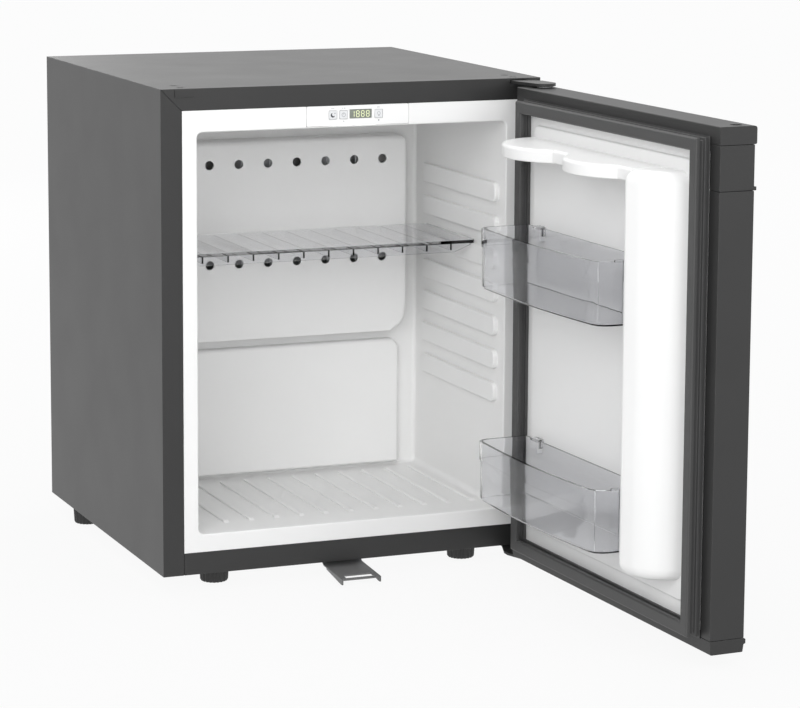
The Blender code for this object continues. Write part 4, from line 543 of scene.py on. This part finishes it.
def makeEvaporatorCover():
    size = coverSize
    cover = addBlock("evaporatorCover", size["x"], size["y"], size["z"])
    pick(cover, "FACE", lambda face: True)
    bpy.ops.mesh.bisect(plane_co=(0, 0, size["bend"] * mm), plane_no=(0, 0, 1))
    leaveEdit()
    movePicked(cover, "VERT", (0, size["slope"], 0),
               lambda vert: vert.co.y < 209 * mm and vert.co.z < 193 * mm)
    roundEdges(cover, size["highCorner"], 6, lambda edge: alongAxis(edge, "y") and middleOf(edge).z > 403)
    roundEdges(cover, size["lowCorner"], 8, lambda edge: alongAxis(edge, "y") and middleOf(edge).z < 193)
    dropFaces(cover, lambda face: middleOf(face).y > size["y"][1] - 0.1 or middleOf(face).z < 192.5)
    roundEdges(cover, size["fold"], 5,
               lambda edge: edge.calc_face_angle(0) > 0.9 and middleOf(edge).y < 216)
    thicken(cover, size["wall"])
    holes = []
    for z in size["rows"]:
        for n in range(size["count"]):
            place = (size["first"] + n * size["pitch"], size["y"][0], z)
            holes.append(addRound("coverHole", size["hole"], 12, place, "y", 40))
    carve(cover, joinAll(holes[0], holes[1:]))
    roundEdges(cover, 0.5, 2, lambda edge: edge.calc_face_angle(0) > 1
               and abs(middleOf(edge).y - size["y"][0]) < 0.05
               and min(abs(middleOf(edge).z - z) for z in size["rows"]) < 5)
    return shade(cover, 32)


evaporatorCover = settle(makeEvaporatorCover())
dress(evaporatorCover, "whiteLiner", "cabinet", "white_plastic", "evaporator_cover")
print("the cold box is made")


# control panel: its plate, keys with their icons, and the display's figures

def makeKeyIcon(name, outer, bite, shift, place):
    icon = addRound(name, outer, 0.25, place, "y")
    bitten = (place[0] + shift[0], place[1], place[2] + shift[1])
    return carve(icon, addRound("iconBite", bite, 2, bitten, "y"))


def makeStar(name, radius, place):
    star = addRound(name, radius, 0.25, place, "y", 10)
    centre = Vector(place) * mm
    pick(star, "VERT", lambda vert: round((math.atan2(vert.co.z - centre.z, vert.co.x - centre.x)
                                           / math.tau * 10)) % 2 == 1)
    bpy.ops.transform.resize(value=(0.42, 1, 0.42), center_override=centre)
    leaveEdit()
    return star


keySize = dict(half=4.2, z=451.3, front=-0.15, back=3.4, corner=1.5, rim=0.35, shoulder=5.1, skirt=2.3)


def makeKey(name, x):
    size = keySize
    half = size["half"]
    key = addBlock(name, (x - half, x + half), (size["front"], size["back"]),
                   (size["z"] - half, size["z"] + half))
    roundEdges(key, size["corner"], 5, lambda edge: alongAxis(edge, "y"))
    roundEdges(key, size["rim"], 3, lambda edge: middleOf(edge).y < size["front"] + 0.01)
    wide = size["shoulder"]
    skirt = addBlock("keySkirt", (x - wide, x + wide), (size["skirt"], size["back"]),
                     (size["z"] - wide, size["z"] + wide))
    return shade(joinAll(key, [skirt]))


panelHousing = soften(nodeCopy("control_panel_housing"), 0.35, 3, 40)
dress(panelHousing, "whitePanel", "cabinet", "white_plastic", "control_panel_housing")
keyFace = keySize["front"] - 0.02
for nodeName, body, x in (("button_night", "night_key", 177.7), ("button_set", "set_key", 189.0),
                          ("button_light", "light_key", 226.2)):
    key = settle(makeKey(nodeName.split("_")[1] + "Key", x))
    dress(key, "keyPlastic", body, "grey_plastic", nodeName)
    z = keySize["z"]
    if body == "night_key":
        icon = makeKeyIcon("moonIcon", 2.3, 1.9, (1.0, 0.9), (x - 0.2, keyFace, z - 0.1))
        dress(settle(joinAll(icon, [makeStar("star", 0.6, (x + 1.9, keyFace, z + 1.7))])), "darkPrint", body,
              "lens")
    elif body == "set_key":
        icon = makeKeyIcon("dialIcon", 2.1, 1.7, (0, 0), (x, keyFace, z))
        hand = addBlock("hand", (x - 0.18, x + 0.18), (keyFace - 0.12, keyFace + 0.12), (z, z + 2.1))
        dress(settle(joinAll(icon, [hand])), "greyPrint", body, "lens")
    else:
        icon = makeKeyIcon("lampIcon", 1.7, 1.35, (0, 0), (x, keyFace, z + 0.4))
        foot = addBlock("lampFoot", (x - 0.7, x + 0.7), (keyFace - 0.12, keyFace + 0.12), (z - 2.2, z - 1.4))
        dress(settle(joinAll(icon, [foot])), "greyPrint", body, "lens")

figureSize = dict(long=2.9, thick=0.55, front=-0.12, z=451.8, across=1.45, up=1.5,
                  places=(198.6, 203.9, 209.2, 214.5))


def makeFigures():
    # seven bars a figure, the first of them a one
    size = figureSize
    reach = size["long"] / 2
    bars = []
    for n, x in enumerate(size["places"]):
        places = [(1, 1, True), (1, -1, True)]
        if n:
            places += [(-1, 1, True), (-1, -1, True), (0, 2, False), (0, 0, False), (0, -2, False)]
        for across, up, upright in places:
            centre = (x + across * size["across"], size["z"] + up * size["up"])
            wide = size["thick"] / 2 if upright else reach * 0.82
            tall = reach * 0.88 if upright else size["thick"] / 2
            bar = addBlock("figureBar", (centre[0] - wide, centre[0] + wide), (size["front"], 0.1),
                           (centre[1] - tall, centre[1] + tall))
            roundEdges(bar, 0.24, 2, lambda edge: alongAxis(edge, "y"))
            bars.append(bar)
    bars[0].name = "displayFigures"
    return joinAll(bars[0], bars[1:])


dress(settle(makeFigures()), "litSegment", "cabinet", "lens")
windowPane = soften(nodeCopy("display_window"), 0.3, 2, 40)
dress(windowPane, "displayGlass", "cabinet", "lens", "display_window")
marks = []
for x, z in ((189.0, 444.9), (226.2, 444.9)):
    marks.append(addRound("panelMark", 0.75, 0.2, (x, -0.02, z), "y", 3 if x < 200 else 16))
for x, widths in ((177.7, (1.2, 0.9)), (189.0, (0.9, 1.4)), (226.2, (1.5, 0.7))):
    for n, width in enumerate(widths):
        left = x - 1.6 + n * 1.9
        marks.append(addBlock("panelDash", (left, left + width), (-0.12, 0.08), (457.5, 458.1)))
marks[0].name = "panelMarks"
dress(settle(joinAll(marks[0], marks[1:])), "greyPrint", "cabinet", "lens")
lampLens = soften(nodeCopy("lamp_lens"), 0.4, 3, 40)
dress(lampLens, "lampLens", "cabinet", "lens", "lamp_lens")
print("the control panel is made")


# door: liner with its post, hoods and lugs

doorFaceSize = dict(x=(45, 359), z=(34, 442), back=-12.9, face=-10.3, corner=9, edge=1.5,
                    outerX=(18.3, 383.7), outerZ=(8.6, 458.4), fold=0.7, wall=1.2)
postSize = dict(x=(48.2, 100), y=(-11.5, 31), z=(64, 418), crest=70, crestDown=8.4, edgeIn=5.8, edgeDown=23.4,
                rounds=((70, 11), (54, 7), (100, 8)), middle=74, half=25.9, deep=41, end=12, steps=7)
hoodSize = dict(x=(95, 337), y=(-11.5, 23.7), z=(417, 430), middles=(170, 299), radius=62, deep=57,
                root=-10.3, dip=14, topEdge=3.2, lowEdge=1.6)
lugSize = dict(x=(111, 125), y=(-11, -3.9), z=(329.8, 334.8), hook=-5.9, hookUp=6.4, edge=0.6,
               steps=((217, 0, 0), (0, 0, -213), (217, 0, -213)))


def makePost():
    # the post is steepest on the side of the door's free edge, as an aircraft's wing is
    size = postSize
    post = addBlock("linerPost", size["x"], size["y"], size["z"])
    pick(post, "FACE", lambda face: True)
    bpy.ops.mesh.bisect(plane_co=(size["crest"] * mm, 0, 0), plane_no=(1, 0, 0))
    leaveEdit()
    movePicked(post, "VERT", (0, -size["crestDown"], 0),
               lambda vert: abs(vert.co.x - size["crest"] * mm) < mm and vert.co.y > 0)
    movePicked(post, "VERT", (size["edgeIn"], -size["edgeDown"], 0),
               lambda vert: vert.co.x < 49 * mm and vert.co.y > 0)
    for x, width in size["rounds"]:
        roundEdges(post, width, 7, lambda edge: alongAxis(edge, "z") and abs(middleOf(edge).x - x) < 0.5
                   and middleOf(edge).y > 0)
    # each end is drawn out in steps that close in along a quarter circle
    foot = Vector((size["middle"], size["y"][0], 0)) * mm
    for side, end in ((1, size["z"][1]), (-1, size["z"][0])):
        reach, width = 0.0, 0.0
        for n in range(1, size["steps"] + 1):
            angle = math.pi / 2 * n / size["steps"]
            newReach = size["end"] * math.sin(angle)
            inwards = size["end"] * (1 - math.cos(angle))
            pick(post, "FACE", lambda face: abs(face.normal.z) > 0.9
                 and abs(middleOf(face).z - (end + side * reach)) < 0.01)
            bpy.ops.mesh.extrude_region_move(TRANSFORM_OT_translate={
                "value": (0, 0, side * (newReach - reach) * mm)})
            shrink = [(full - inwards) / (full - width) for full in (size["half"], size["deep"])]
            bpy.ops.transform.resize(value=(*shrink, 1), center_override=foot)
            reach, width = newReach, inwards
            leaveEdit()
    return post


def makeHoods():
    size = hoodSize
    band = addBlock("linerHoods", size["x"], size["y"], size["z"])
    high = (size["z"][0] + size["z"][1]) / 2
    for middle in size["middles"]:
        bulge = addRound("hoodBulge", size["radius"], 13, (middle, size["root"], high), "z", 96)
        pick(bulge, "VERT", lambda vert: True)
        bpy.ops.transform.resize(value=(1, size["deep"] / size["radius"], 1),
                                 center_override=(0, size["root"] * mm, 0))
        bpy.ops.mesh.select_all(action="SELECT")
        bpy.ops.mesh.bisect(plane_co=(0, size["y"][0] * mm, 0), plane_no=(0, 1, 0), clear_inner=True,
                            use_fill=True)
        leaveEdit()
        carve(band, bulge, "UNION")
    pick(band, "FACE", lambda face: True)
    bpy.ops.mesh.dissolve_limited(angle_limit=math.radians(0.4))
    leaveEdit()
    roundEdges(band, size["dip"], 8, lambda edge: alongAxis(edge, "z")
               and abs(middleOf(edge).y - size["y"][1]) < 0.4 and middleOf(edge).x > 100)
    roundEdges(band, size["topEdge"], 5, lambda edge: middleOf(edge).z > size["z"][1] - 0.1
               and middleOf(edge).y > -11 and edge.calc_face_angle(0) > 0.9)
    roundEdges(band, size["lowEdge"], 3, lambda edge: middleOf(edge).z < size["z"][0] + 0.1
               and middleOf(edge).y > -11 and edge.calc_face_angle(0) > 0.9)
    return band


def makeLugs():
    size = lugSize
    lug = addBlock("binLug", size["x"], size["y"], size["z"])
    pick(lug, "FACE", lambda face: True)
    bpy.ops.mesh.bisect(plane_co=(0, size["hook"] * mm, 0), plane_no=(0, 1, 0))
    leaveEdit()
    pick(lug, "FACE", lambda face: middleOf(face).z > size["z"][1] - 0.1 and middleOf(face).y > size["hook"])
    bpy.ops.mesh.extrude_region_move(TRANSFORM_OT_translate={"value": (0, 0, size["hookUp"] * mm)})
    leaveEdit()
    roundEdges(lug, size["edge"], 2, lambda edge: edge.calc_face_angle(0) > 1 and middleOf(edge).y > -10)
    return [lug] + [copyOf(lug, "binLug", step) for step in size["steps"]]


def makeDoorLiner():
    size = doorFaceSize
    liner = addBlock("doorLiner", size["x"], (size["back"], size["face"]), size["z"])
    roundEdges(liner, size["corner"], 6, lambda edge: alongAxis(edge, "y"))
    dropFaces(liner, lambda face: middleOf(face).y < size["back"] + 0.1)
    roundEdges(liner, size["edge"], 4, lambda edge: middleOf(edge).y > size["face"] - 0.01)
    growRim(liner, size["outerX"], size["outerZ"])
    roundEdges(liner, size["fold"], 3,
               lambda edge: edge.calc_face_angle(0) > 0.8 and middleOf(edge).y < size["back"] + 0.1)
    thicken(liner, size["wall"])
    lugs = makeLugs()
    joinAll(liner, [makePost(), makeHoods()] + lugs)
    return shade(liner, 32)


doorLiner = settle(makeDoorLiner(), True)
dress(doorLiner, "whiteLiner", "door", "white_plastic", "door_liner")


wingSize = dict(x=(17.2, 384.8), y=(-12.9, -12.2), z=(6.6, 465.4), openX=(24, 378), openZ=(12, 460))


def makeGasket():
    # the bellows strip, and the wing that holds it under the liner's edge
    size = wingSize
    strip = soften(nodeCopy("door_gasket"), 0.45, 3, 30)
    wing = addBlock("gasketWing", size["x"], size["y"], size["z"])
    carve(wing, addBlock("wingOpening", size["openX"], (-20, 0), size["openZ"]))
    return joinAll(strip, [settle(soften(wing, 0.2, 2), True)])


dress(makeGasket(), "blackRubber", "door", "rubber", "door_gasket")
print("the door's inside is made")

# pieces that keep the CAD's shape, with their edges eased

easedNodes = [
    ("cabinet", "blackPaint", "painted_steel", 0.35, ["left_side_panel", "right_side_panel", "top_panel",
                                                      "front_bottom_rail"]),
    ("cabinet", "greyPaint", "painted_steel", 0.35, ["lock_tongue"]),
    ("cabinet", "zincSheet", "galvanised", 0.2, ["base_panel", "back_plate", "boiler_bracket",
                                                 "vessel_bracket"]),
    ("cabinet", "blackPaint", "plated_steel", 0.3, ["top_hinge_plate", "bottom_hinge_plate"]),
    ("cabinet", "darkNickel", "plated_steel", 0.3, ["low_hinge_screw_1", "low_hinge_screw_2",
                                                    "tongue_screw_1", "tongue_screw_2"]),
    ("cabinet", "blackPlastic", "black_plastic", 0.4, ["hinge_slot_plug", "foot_front_left",
                                                       "foot_front_right", "foot_rear_left",
                                                       "foot_rear_right", "drip_pan", "mains_inlet"]),
    ("cabinet", "greyPlastic", "grey_plastic", 0.2, ["drain_trough", "temperature_sensor"]),
    ("door", "blackPaint", "painted_steel", 0.4, ["door_skin"]),
    ("door", "blackPlastic", "black_plastic", 0.6, ["door_bottom_cap", "door_grip"]),
    ("door", "greyPlastic", "grey_plastic", 0.2, ["upper_hinge_bush", "lower_hinge_bush"]),
    ("shelf", "clearPlastic", "clear_plastic", 0.5, ["shelf"]),
]
for body, finish, slot, width, members in easedNodes:
    for nodeName in members:
        dress(soften(nodeCopy(nodeName), width), finish, body, slot, nodeName)


binTrim = dict(beadX=(101.2, 102.6), beadY=(25.2, 26.8), beadLong=58, beadEdge=0.6,
               tabX=(102, 104), tabY=(26, 35), tabZ=(-1, 1.5), tabCorner=0.9)


def makeBin(nodeName, top):
    # the near end has a bead down the rear of its side, and a small tab on the rim
    size = binTrim
    tray = nodeCopy(nodeName)
    bead = addBlock("binBead", size["beadX"], size["beadY"], (top - size["beadLong"], top))
    roundEdges(bead, size["beadEdge"], 2, lambda edge: middleOf(edge).x < size["beadX"][0] + 0.1)
    tab = addBlock("binTab", size["tabX"], size["tabY"], (top + size["tabZ"][0], top + size["tabZ"][1]))
    roundEdges(tab, size["tabCorner"], 3, lambda edge: alongAxis(edge, "x") and middleOf(edge).z > top + 1)
    return soften(joinAll(tray, [settle(bead, True), settle(tab, True)]), 0.6)


dress(makeBin("upper_bin", 344), "clearPlastic", "upper_bin", "clear_plastic", "upper_bin")
dress(makeBin("lower_bin", 131), "clearPlastic", "lower_bin", "clear_plastic", "lower_bin")


def makeTopCap():
    # the cap has a second seat at its free end, for the hinge of a door hung on the other side
    cap = nodeCopy("door_top_cap")
    spare = settle(addRound("spareSeat", 5.4, 24, (13, -36.4, 475.4), "z", 40), True)
    carve(cap, spare)
    return soften(cap, 0.6, 3)


dress(makeTopCap(), "blackPlastic", "door", "black_plastic", "door_top_cap")
print("eased pieces are made")


# screws in the top, each with its cross

screwSize = dict(shank=1.7, head=3.5, edge=0.3, crossHalf=0.4, crossLong=1.9)


def makeTopScrew(name, x, y):
    size = screwSize
    thin, long = size["crossHalf"], size["crossLong"]
    screw = joinAll(addRound(name, size["shank"], 11.5, (x, y, 474.8), "z", 24),
                    [addRound("screwCone", size["shank"], 1.8, (x, y, 481.1), "z", 40, tip=size["head"])])
    head = addRound("screwHead", size["head"], 0.5, (x, y, 481.75), "z", 40)
    roundEdges(head, size["edge"], 3, lambda edge: middleOf(edge).z > 481.9)
    carve(head, addBlock("crossSlot", (x - thin, x + thin), (y - long, y + long), (481.6, 483)))
    carve(head, addBlock("crossSlot", (x - long, x + long), (y - thin, y + thin), (481.61, 483)))
    return shade(joinAll(screw, [head]))


for n, (x, y) in enumerate(((24.4, 13), (24.4, 34), (377.6, 13), (377.6, 34))):
    dress(settle(makeTopScrew(f"topScrew{n + 1}", x, y)), "darkNickel", "cabinet", "plated_steel",
          f"top_screw_{n + 1}")


# cooling unit

unitY = 348
coilCorners = [(84, 84.3), (84, 108), (200, 108)]
for n in range(1, 6):
    near, far = (200, 40) if n % 2 else (40, 200)
    coilCorners += [(near, 108 + 30 * n), (far, 108 + 30 * n)]
coilCorners += [(40, 272), (224.7, 272)]
pipes = {
    "evaporatorPipe": dict(
        corners=[(96, unitY, 396), (96, unitY, 300), (171, unitY, 300), (171, 224, 300), (231, 224, 300),
                 (231, unitY, 300), (231, unitY, 84.3)], radius=6, bend=18, finish="blackEnamel",
        slot="enamelled_tube", node="evaporator_pipe",
        collars=[(96, unitY, 392, "z"), (231, unitY, 88, "z"), (218, unitY, 300, "x")]),
    "absorberCoil": dict(
        corners=[(x, unitY, z) for x, z in coilCorners], radius=6, bend=13, finish="blackEnamel",
        slot="enamelled_tube", node="absorber_coil",
        collars=[(84, unitY, 88, "z"), (221.5, unitY, 272, "x")]),
    "boilerFeedPipe": dict(
        corners=[(254.3, unitY, 62), (338, unitY, 62), (338, unitY, 94.7)], radius=8, bend=18,
        finish="blackEnamel", slot="enamelled_tube", node="boiler_feed_pipe",
        collars=[(258, unitY, 62, "x"), (338, unitY, 90, "z")]),
    "controlLead": dict(
        corners=[(246, 26.4, 450.3), (246, 318, 450.3), (273, 318, 420.3), (273, 318, 210.3)], radius=2,
        bend=16, finish="cableJacket", slot="cable", node="control_lead", collars=[(273, 318, 212, "z")]),
    "heaterLead": dict(
        corners=[(290, 322, 109.7), (290, 322, 82), (324, 338, 82), (324, 338, 94.7)], radius=2, bend=8,
        finish="cableJacket", slot="cable", node="heater_lead", collars=[(290, 322, 108, "z")]),
}
for name, pipe in pipes.items():
    piece = addPipe(name, pipe["corners"], pipe["radius"], pipe["bend"])
    collars = []
    for x, y, z, axis in pipe["collars"]:
        collar = addRound("collar", pipe["radius"] * 1.22, 0.9 * pipe["radius"], (x, y, z), axis)
        roundEdges(collar, 0.18 * pipe["radius"], 3, lambda edge: edge.calc_face_angle(0) > 1)
        collars.append(collar)
    dress(settle(shade(joinAll(piece, collars))), pipe["finish"], "cabinet", pipe["slot"], pipe["node"])


boilerSize = dict(x=338, z=240, radius=28, long=290, edge=3, rim=6, dish=1.5, straps=(134, 240, 346),
                  strapRadius=28.35, strapWide=9, claspHalf=(5, 3.4), claspY=(26.6, 28.7),
                  seamX=(352.8, 357), seamY=(19.4, 22.2), seamZ=(99, 381))


def makeBoiler():
    size = boilerSize
    jacket = addRound("boilerJacket", size["radius"], size["long"], (size["x"], unitY, size["z"]), "z", 72)
    roundEdges(jacket, size["edge"], 4, lambda edge: edge.calc_face_angle(0) > 1)
    for side in (1, -1):
        pick(jacket, "FACE",
             lambda face: side * (middleOf(face).z - size["z"]) > size["long"] / 2 - 0.1)
        bpy.ops.mesh.inset(thickness=size["rim"] * mm)
        bpy.ops.transform.translate(value=(0, 0, -side * size["dish"] * mm))
        leaveEdit()
    extras = []
    across, up = size["claspHalf"]
    for z in size["straps"]:
        strap = addRound("strap", size["strapRadius"], size["strapWide"], (size["x"], unitY, z), "z", 72)
        roundEdges(strap, 0.5, 2, lambda edge: edge.calc_face_angle(0) > 1)
        # the clasp is on the outer side, away from the bracket's webs
        clasp = addBlock("clasp", (size["x"] - across, size["x"] + across),
                         (unitY + size["claspY"][0], unitY + size["claspY"][1]), (z - up, z + up))
        roundEdges(clasp, 0.7, 2, lambda edge: middleOf(edge).y > unitY + 28)
        extras += [strap, clasp]
    seam = addBlock("jacketSeam", size["seamX"], (unitY + size["seamY"][0], unitY + size["seamY"][1]),
                    size["seamZ"])
    roundEdges(seam, 0.9, 2, lambda edge: alongAxis(edge, "z"))
    return shade(joinAll(jacket, extras + [seam]))


dress(settle(makeBoiler()), "zincSheet", "cabinet", "galvanised", "boiler_jacket")


vesselSize = dict(x=155, z=62, radius=22, long=198, dome=11, seams=(70, 240), seamWide=3, seamGrow=1.012)


def makeVessel():
    size = vesselSize
    vessel = addRound("absorberVessel", size["radius"], size["long"], (size["x"], unitY, size["z"]), "x", 72)
    roundEdges(vessel, size["dome"], 8, lambda edge: edge.calc_face_angle(0) > 1)
    seams = []
    for x in size["seams"]:
        seam = addRound("vesselSeam", size["radius"], size["seamWide"], (x, unitY, size["z"]), "x", 72)
        pick(seam, "VERT", lambda vert: True)
        bpy.ops.transform.resize(value=(1, size["seamGrow"], size["seamGrow"]),
                                 center_override=(x * mm, unitY * mm, size["z"] * mm))
        leaveEdit()
        roundEdges(seam, 0.25, 2, lambda edge: edge.calc_face_angle(0) > 1)
        seams.append(seam)
    return shade(joinAll(vessel, seams))


dress(settle(makeVessel()), "blackEnamel", "cabinet", "enamelled_tube", "absorber_vessel")


condenserSize = dict(corners=[(338, unitY, 385.3), (338, unitY, 442), (96, unitY, 436), (96, unitY, 396.3)],
                     radius=6, bend=20, finX=(129.4, 130.6), finHalf=19, finZ=(421, 459), finCorner=3,
                     finRim=9, pitch=14, count=13, collar=7.3, collarWide=3.6, collarAt=(131.5, unitY, 436.9),
                     collarRise=0.347)


def makeCondenser():
    size = condenserSize
    pipe = addPipe("condenser", size["corners"], size["radius"], size["bend"])
    fin = addBlock("condenserFin", size["finX"], (unitY - size["finHalf"], unitY + size["finHalf"]),
                   size["finZ"])
    roundEdges(fin, size["finCorner"], 4, lambda edge: alongAxis(edge, "x"))
    pick(fin, "FACE", lambda face: abs(middleOf(face).x - 130) > 0.5)
    bpy.ops.mesh.inset(thickness=size["finRim"] * mm)
    leaveEdit()
    fins = [fin] + [copyOf(fin, "condenserFin", (size["pitch"] * n, 0, 0)) for n in range(1, size["count"])]
    collar = addRound("finCollar", size["collar"], size["collarWide"], size["collarAt"], "x")
    roundEdges(collar, 0.6, 2, lambda edge: edge.calc_face_angle(0) > 1)
    # the collars follow the pipe's slope
    collars = [collar] + [copyOf(collar, "finCollar", (size["pitch"] * n, 0, size["collarRise"] * n))
                          for n in range(1, size["count"])]
    return shade(joinAll(pipe, fins + collars))


dress(settle(makeCondenser()), "barAluminium", "cabinet", "aluminium", "condenser")
print("the cooling unit is made")

powerSize = dict(x=(244, 302), y=(300.4, 342), z=(110, 210), lid=331, corner=4, edge=1.6,
                 screws=((249, 115), (297, 115), (249, 205), (297, 205)))


def makePowerBox():
    size = powerSize
    box = addBlock("powerBox", size["x"], size["y"], size["z"])
    roundEdges(box, size["corner"], 5, lambda edge: alongAxis(edge, "y"))
    roundEdges(box, size["edge"], 4, lambda edge: middleOf(edge).y > size["y"][1] - 0.1)
    cutters = [addBlock("inletSeat", (261, 285), (328, 350), (169.5, 186.5))]
    # the lid's seam runs all round
    ring = addBlock("lidSeam", (240, 306), (size["lid"] - 0.4, size["lid"] + 0.4), (106, 214))
    carve(ring, addBlock("seamCore", (244.9, 301.1), (320, 340), (110.9, 209.1)))
    cutters.append(ring)
    vent = addBlock("ventSlot", (253, 293), (340.4, 345), (121, 123.4))
    roundEdges(vent, 1.1, 4, lambda edge: alongAxis(edge, "y"))
    cutters += [vent] + [copyOf(vent, "ventSlot", (0, 0, 6 * n)) for n in range(1, 6)]
    for x, z in size["screws"]:
        cutters.append(addRound("screwWell", 2.6, 6, (x, size["y"][1], z), "y", 24))
    carve(box, joinAll(cutters[0], cutters[1:]))
    heads = []
    for x, z in size["screws"]:
        head = addRound("lidScrew", 2.1, 1.4, (x, 339.6, z), "y", 24)
        roundEdges(head, 0.4, 2, lambda edge: middleOf(edge).y > 340.2)
        heads.append(head)
    return shade(joinAll(box, heads))


dress(settle(makePowerBox()), "blackPlastic", "cabinet", "black_plastic", "power_box")

# nodes that stay as they are, with finishes of their own
carriedNodes = {
    # the foam's dark colour is partly painted shade for the seams where it shows
    "graphiteFoamSeamShade": ["insulation", "door_insulation"],
    "barAluminium": ["cold_plate"],
    "boardGreen": ["control_board"],
}
for finish, members in carriedNodes.items():
    for nodeName in members:
        nodes[nodeName].data.materials.clear()
        nodes[nodeName].data.materials.append(paints[finish])
print("the power box and the carried nodes are finished")


# floor, light and camera

def backgroundRays(tree):
    # the rays that show the plain background: the camera's, and those seen in gloss and through glass
    path = addNode(tree, "LightPath")
    result = path.outputs["Is Camera Ray"]
    for label in ("Is Glossy Ray", "Is Transmission Ray"):
        result = addNode(tree, "Math", {0: result, 1: path.outputs[label]}, "MAXIMUM").outputs[0]
    return result


deselectAll()
bpy.ops.mesh.primitive_plane_add(size=60, location=(0, 8, 0))
floor = bpy.context.object
floor.name = "floor"
floorPaint = bpy.data.materials.new("paleFloor")
floorPaint.use_nodes = True
tree = floorPaint.node_tree
# painted shade: the floor's colour is darker close to the fridge, as a painted shadow round it, so that
# little of it is mirrored low in the black sides
place = addNode(tree, "TexCoord")
reach = addNode(tree, "VectorMath", {0: place.outputs["Object"], 1: (0, -8, 0)}, "DISTANCE")
paintedShadowRamp = addNode(tree, "MapRange", {"Value": reach.outputs["Value"], "From Min": 0.5, "From Max": 3.2,
                                  "To Min": 0.52, "To Max": 0.85})
shader = fillInputs(tree, tree.nodes["Principled BSDF"], {"Roughness": 0.9,
                                                          "Base Color": paintedShadowRamp.outputs["Result"]})
glow = addNode(tree, "Emission", {"Strength": 1.0})
# the rest of the camera's rays see the lit floor, which keeps the fridge's shadow
share = addNode(tree, "Math", {0: backgroundRays(tree), 1: 0.92}, "MULTIPLY")
blend = addNode(tree, "MixShader", {"Fac": share.outputs[0], 1: shader.outputs["BSDF"],
                                    2: glow.outputs["Emission"]})
fillInputs(tree, tree.nodes["Material Output"], {"Surface": blend.outputs["Shader"]})
floor.data.materials.append(floorPaint)

world = bpy.data.worlds.new("studio")
bpy.context.scene.world = world
world.use_nodes = True
tree = world.node_tree
back = fillInputs(tree, tree.nodes["Background"], {"Color": (0.985, 0.99, 1.0, 1), "Strength": 0.75})
seen = addNode(tree, "Background", {"Color": (1, 1, 1, 1), "Strength": 1.0})
blend = addNode(tree, "MixShader", {"Fac": backgroundRays(tree), 1: back.outputs["Background"],
                                    2: seen.outputs["Background"]})
fillInputs(tree, tree.nodes["World Output"], {"Surface": blend.outputs["Shader"]})

lamps = {
    "keyLamp": dict(place=(-1.6, -2.3, 1.55), aim=(0, 0, 0.25), size=1.6, power=31),
    "fillLamp": dict(place=(1.6, -2.4, 1.2), aim=(0, 0, 0.25), size=1.6, power=11),
    "frontLamp": dict(place=(-0.55, -3.1, 0.55), aim=(0, 0, 0.25), size=1.3, power=17),
    "topLamp": dict(place=(0.0, 0.4, 2.2), aim=(0, 0.1, 0.3), size=1.4, power=15),
    "rearLamp": dict(place=(0.0, 3.0, 1.2), aim=(0, 0.2, 0.3), size=1.0, power=7),
}
for name, lamp in lamps.items():
    bpy.ops.object.light_add(type="AREA", location=lamp["place"])
    light = bpy.context.object
    light.name = name
    light.data.shape = "SQUARE"
    light.data.size = lamp["size"]
    light.data.energy = lamp["power"]
    aim = Vector(lamp["aim"]) - Vector(lamp["place"])
    light.rotation_euler = aim.to_track_quat("-Z", "Y").to_euler()

view = dict(place=(-1.1042, -2.7760, 0.7789), yaw=0.3897, pitch=0.1552, roll=0.0055, lens=137.2, shift=-0.1)
turn = (Matrix.Rotation(-view["yaw"], 4, "Z") @ Matrix.Rotation(math.pi / 2 - view["pitch"], 4, "X")
        @ Matrix.Rotation(view["roll"], 4, "Z"))
bpy.ops.object.camera_add(location=view["place"], rotation=turn.to_euler())
camera = bpy.context.object
camera.data.lens = view["lens"]
camera.data.sensor_width = 36
camera.data.shift_y = view["shift"]
bpy.context.scene.camera = camera
bpy.context.scene.view_settings.view_transform = "Standard"
print("floor, lamps and camera are set")
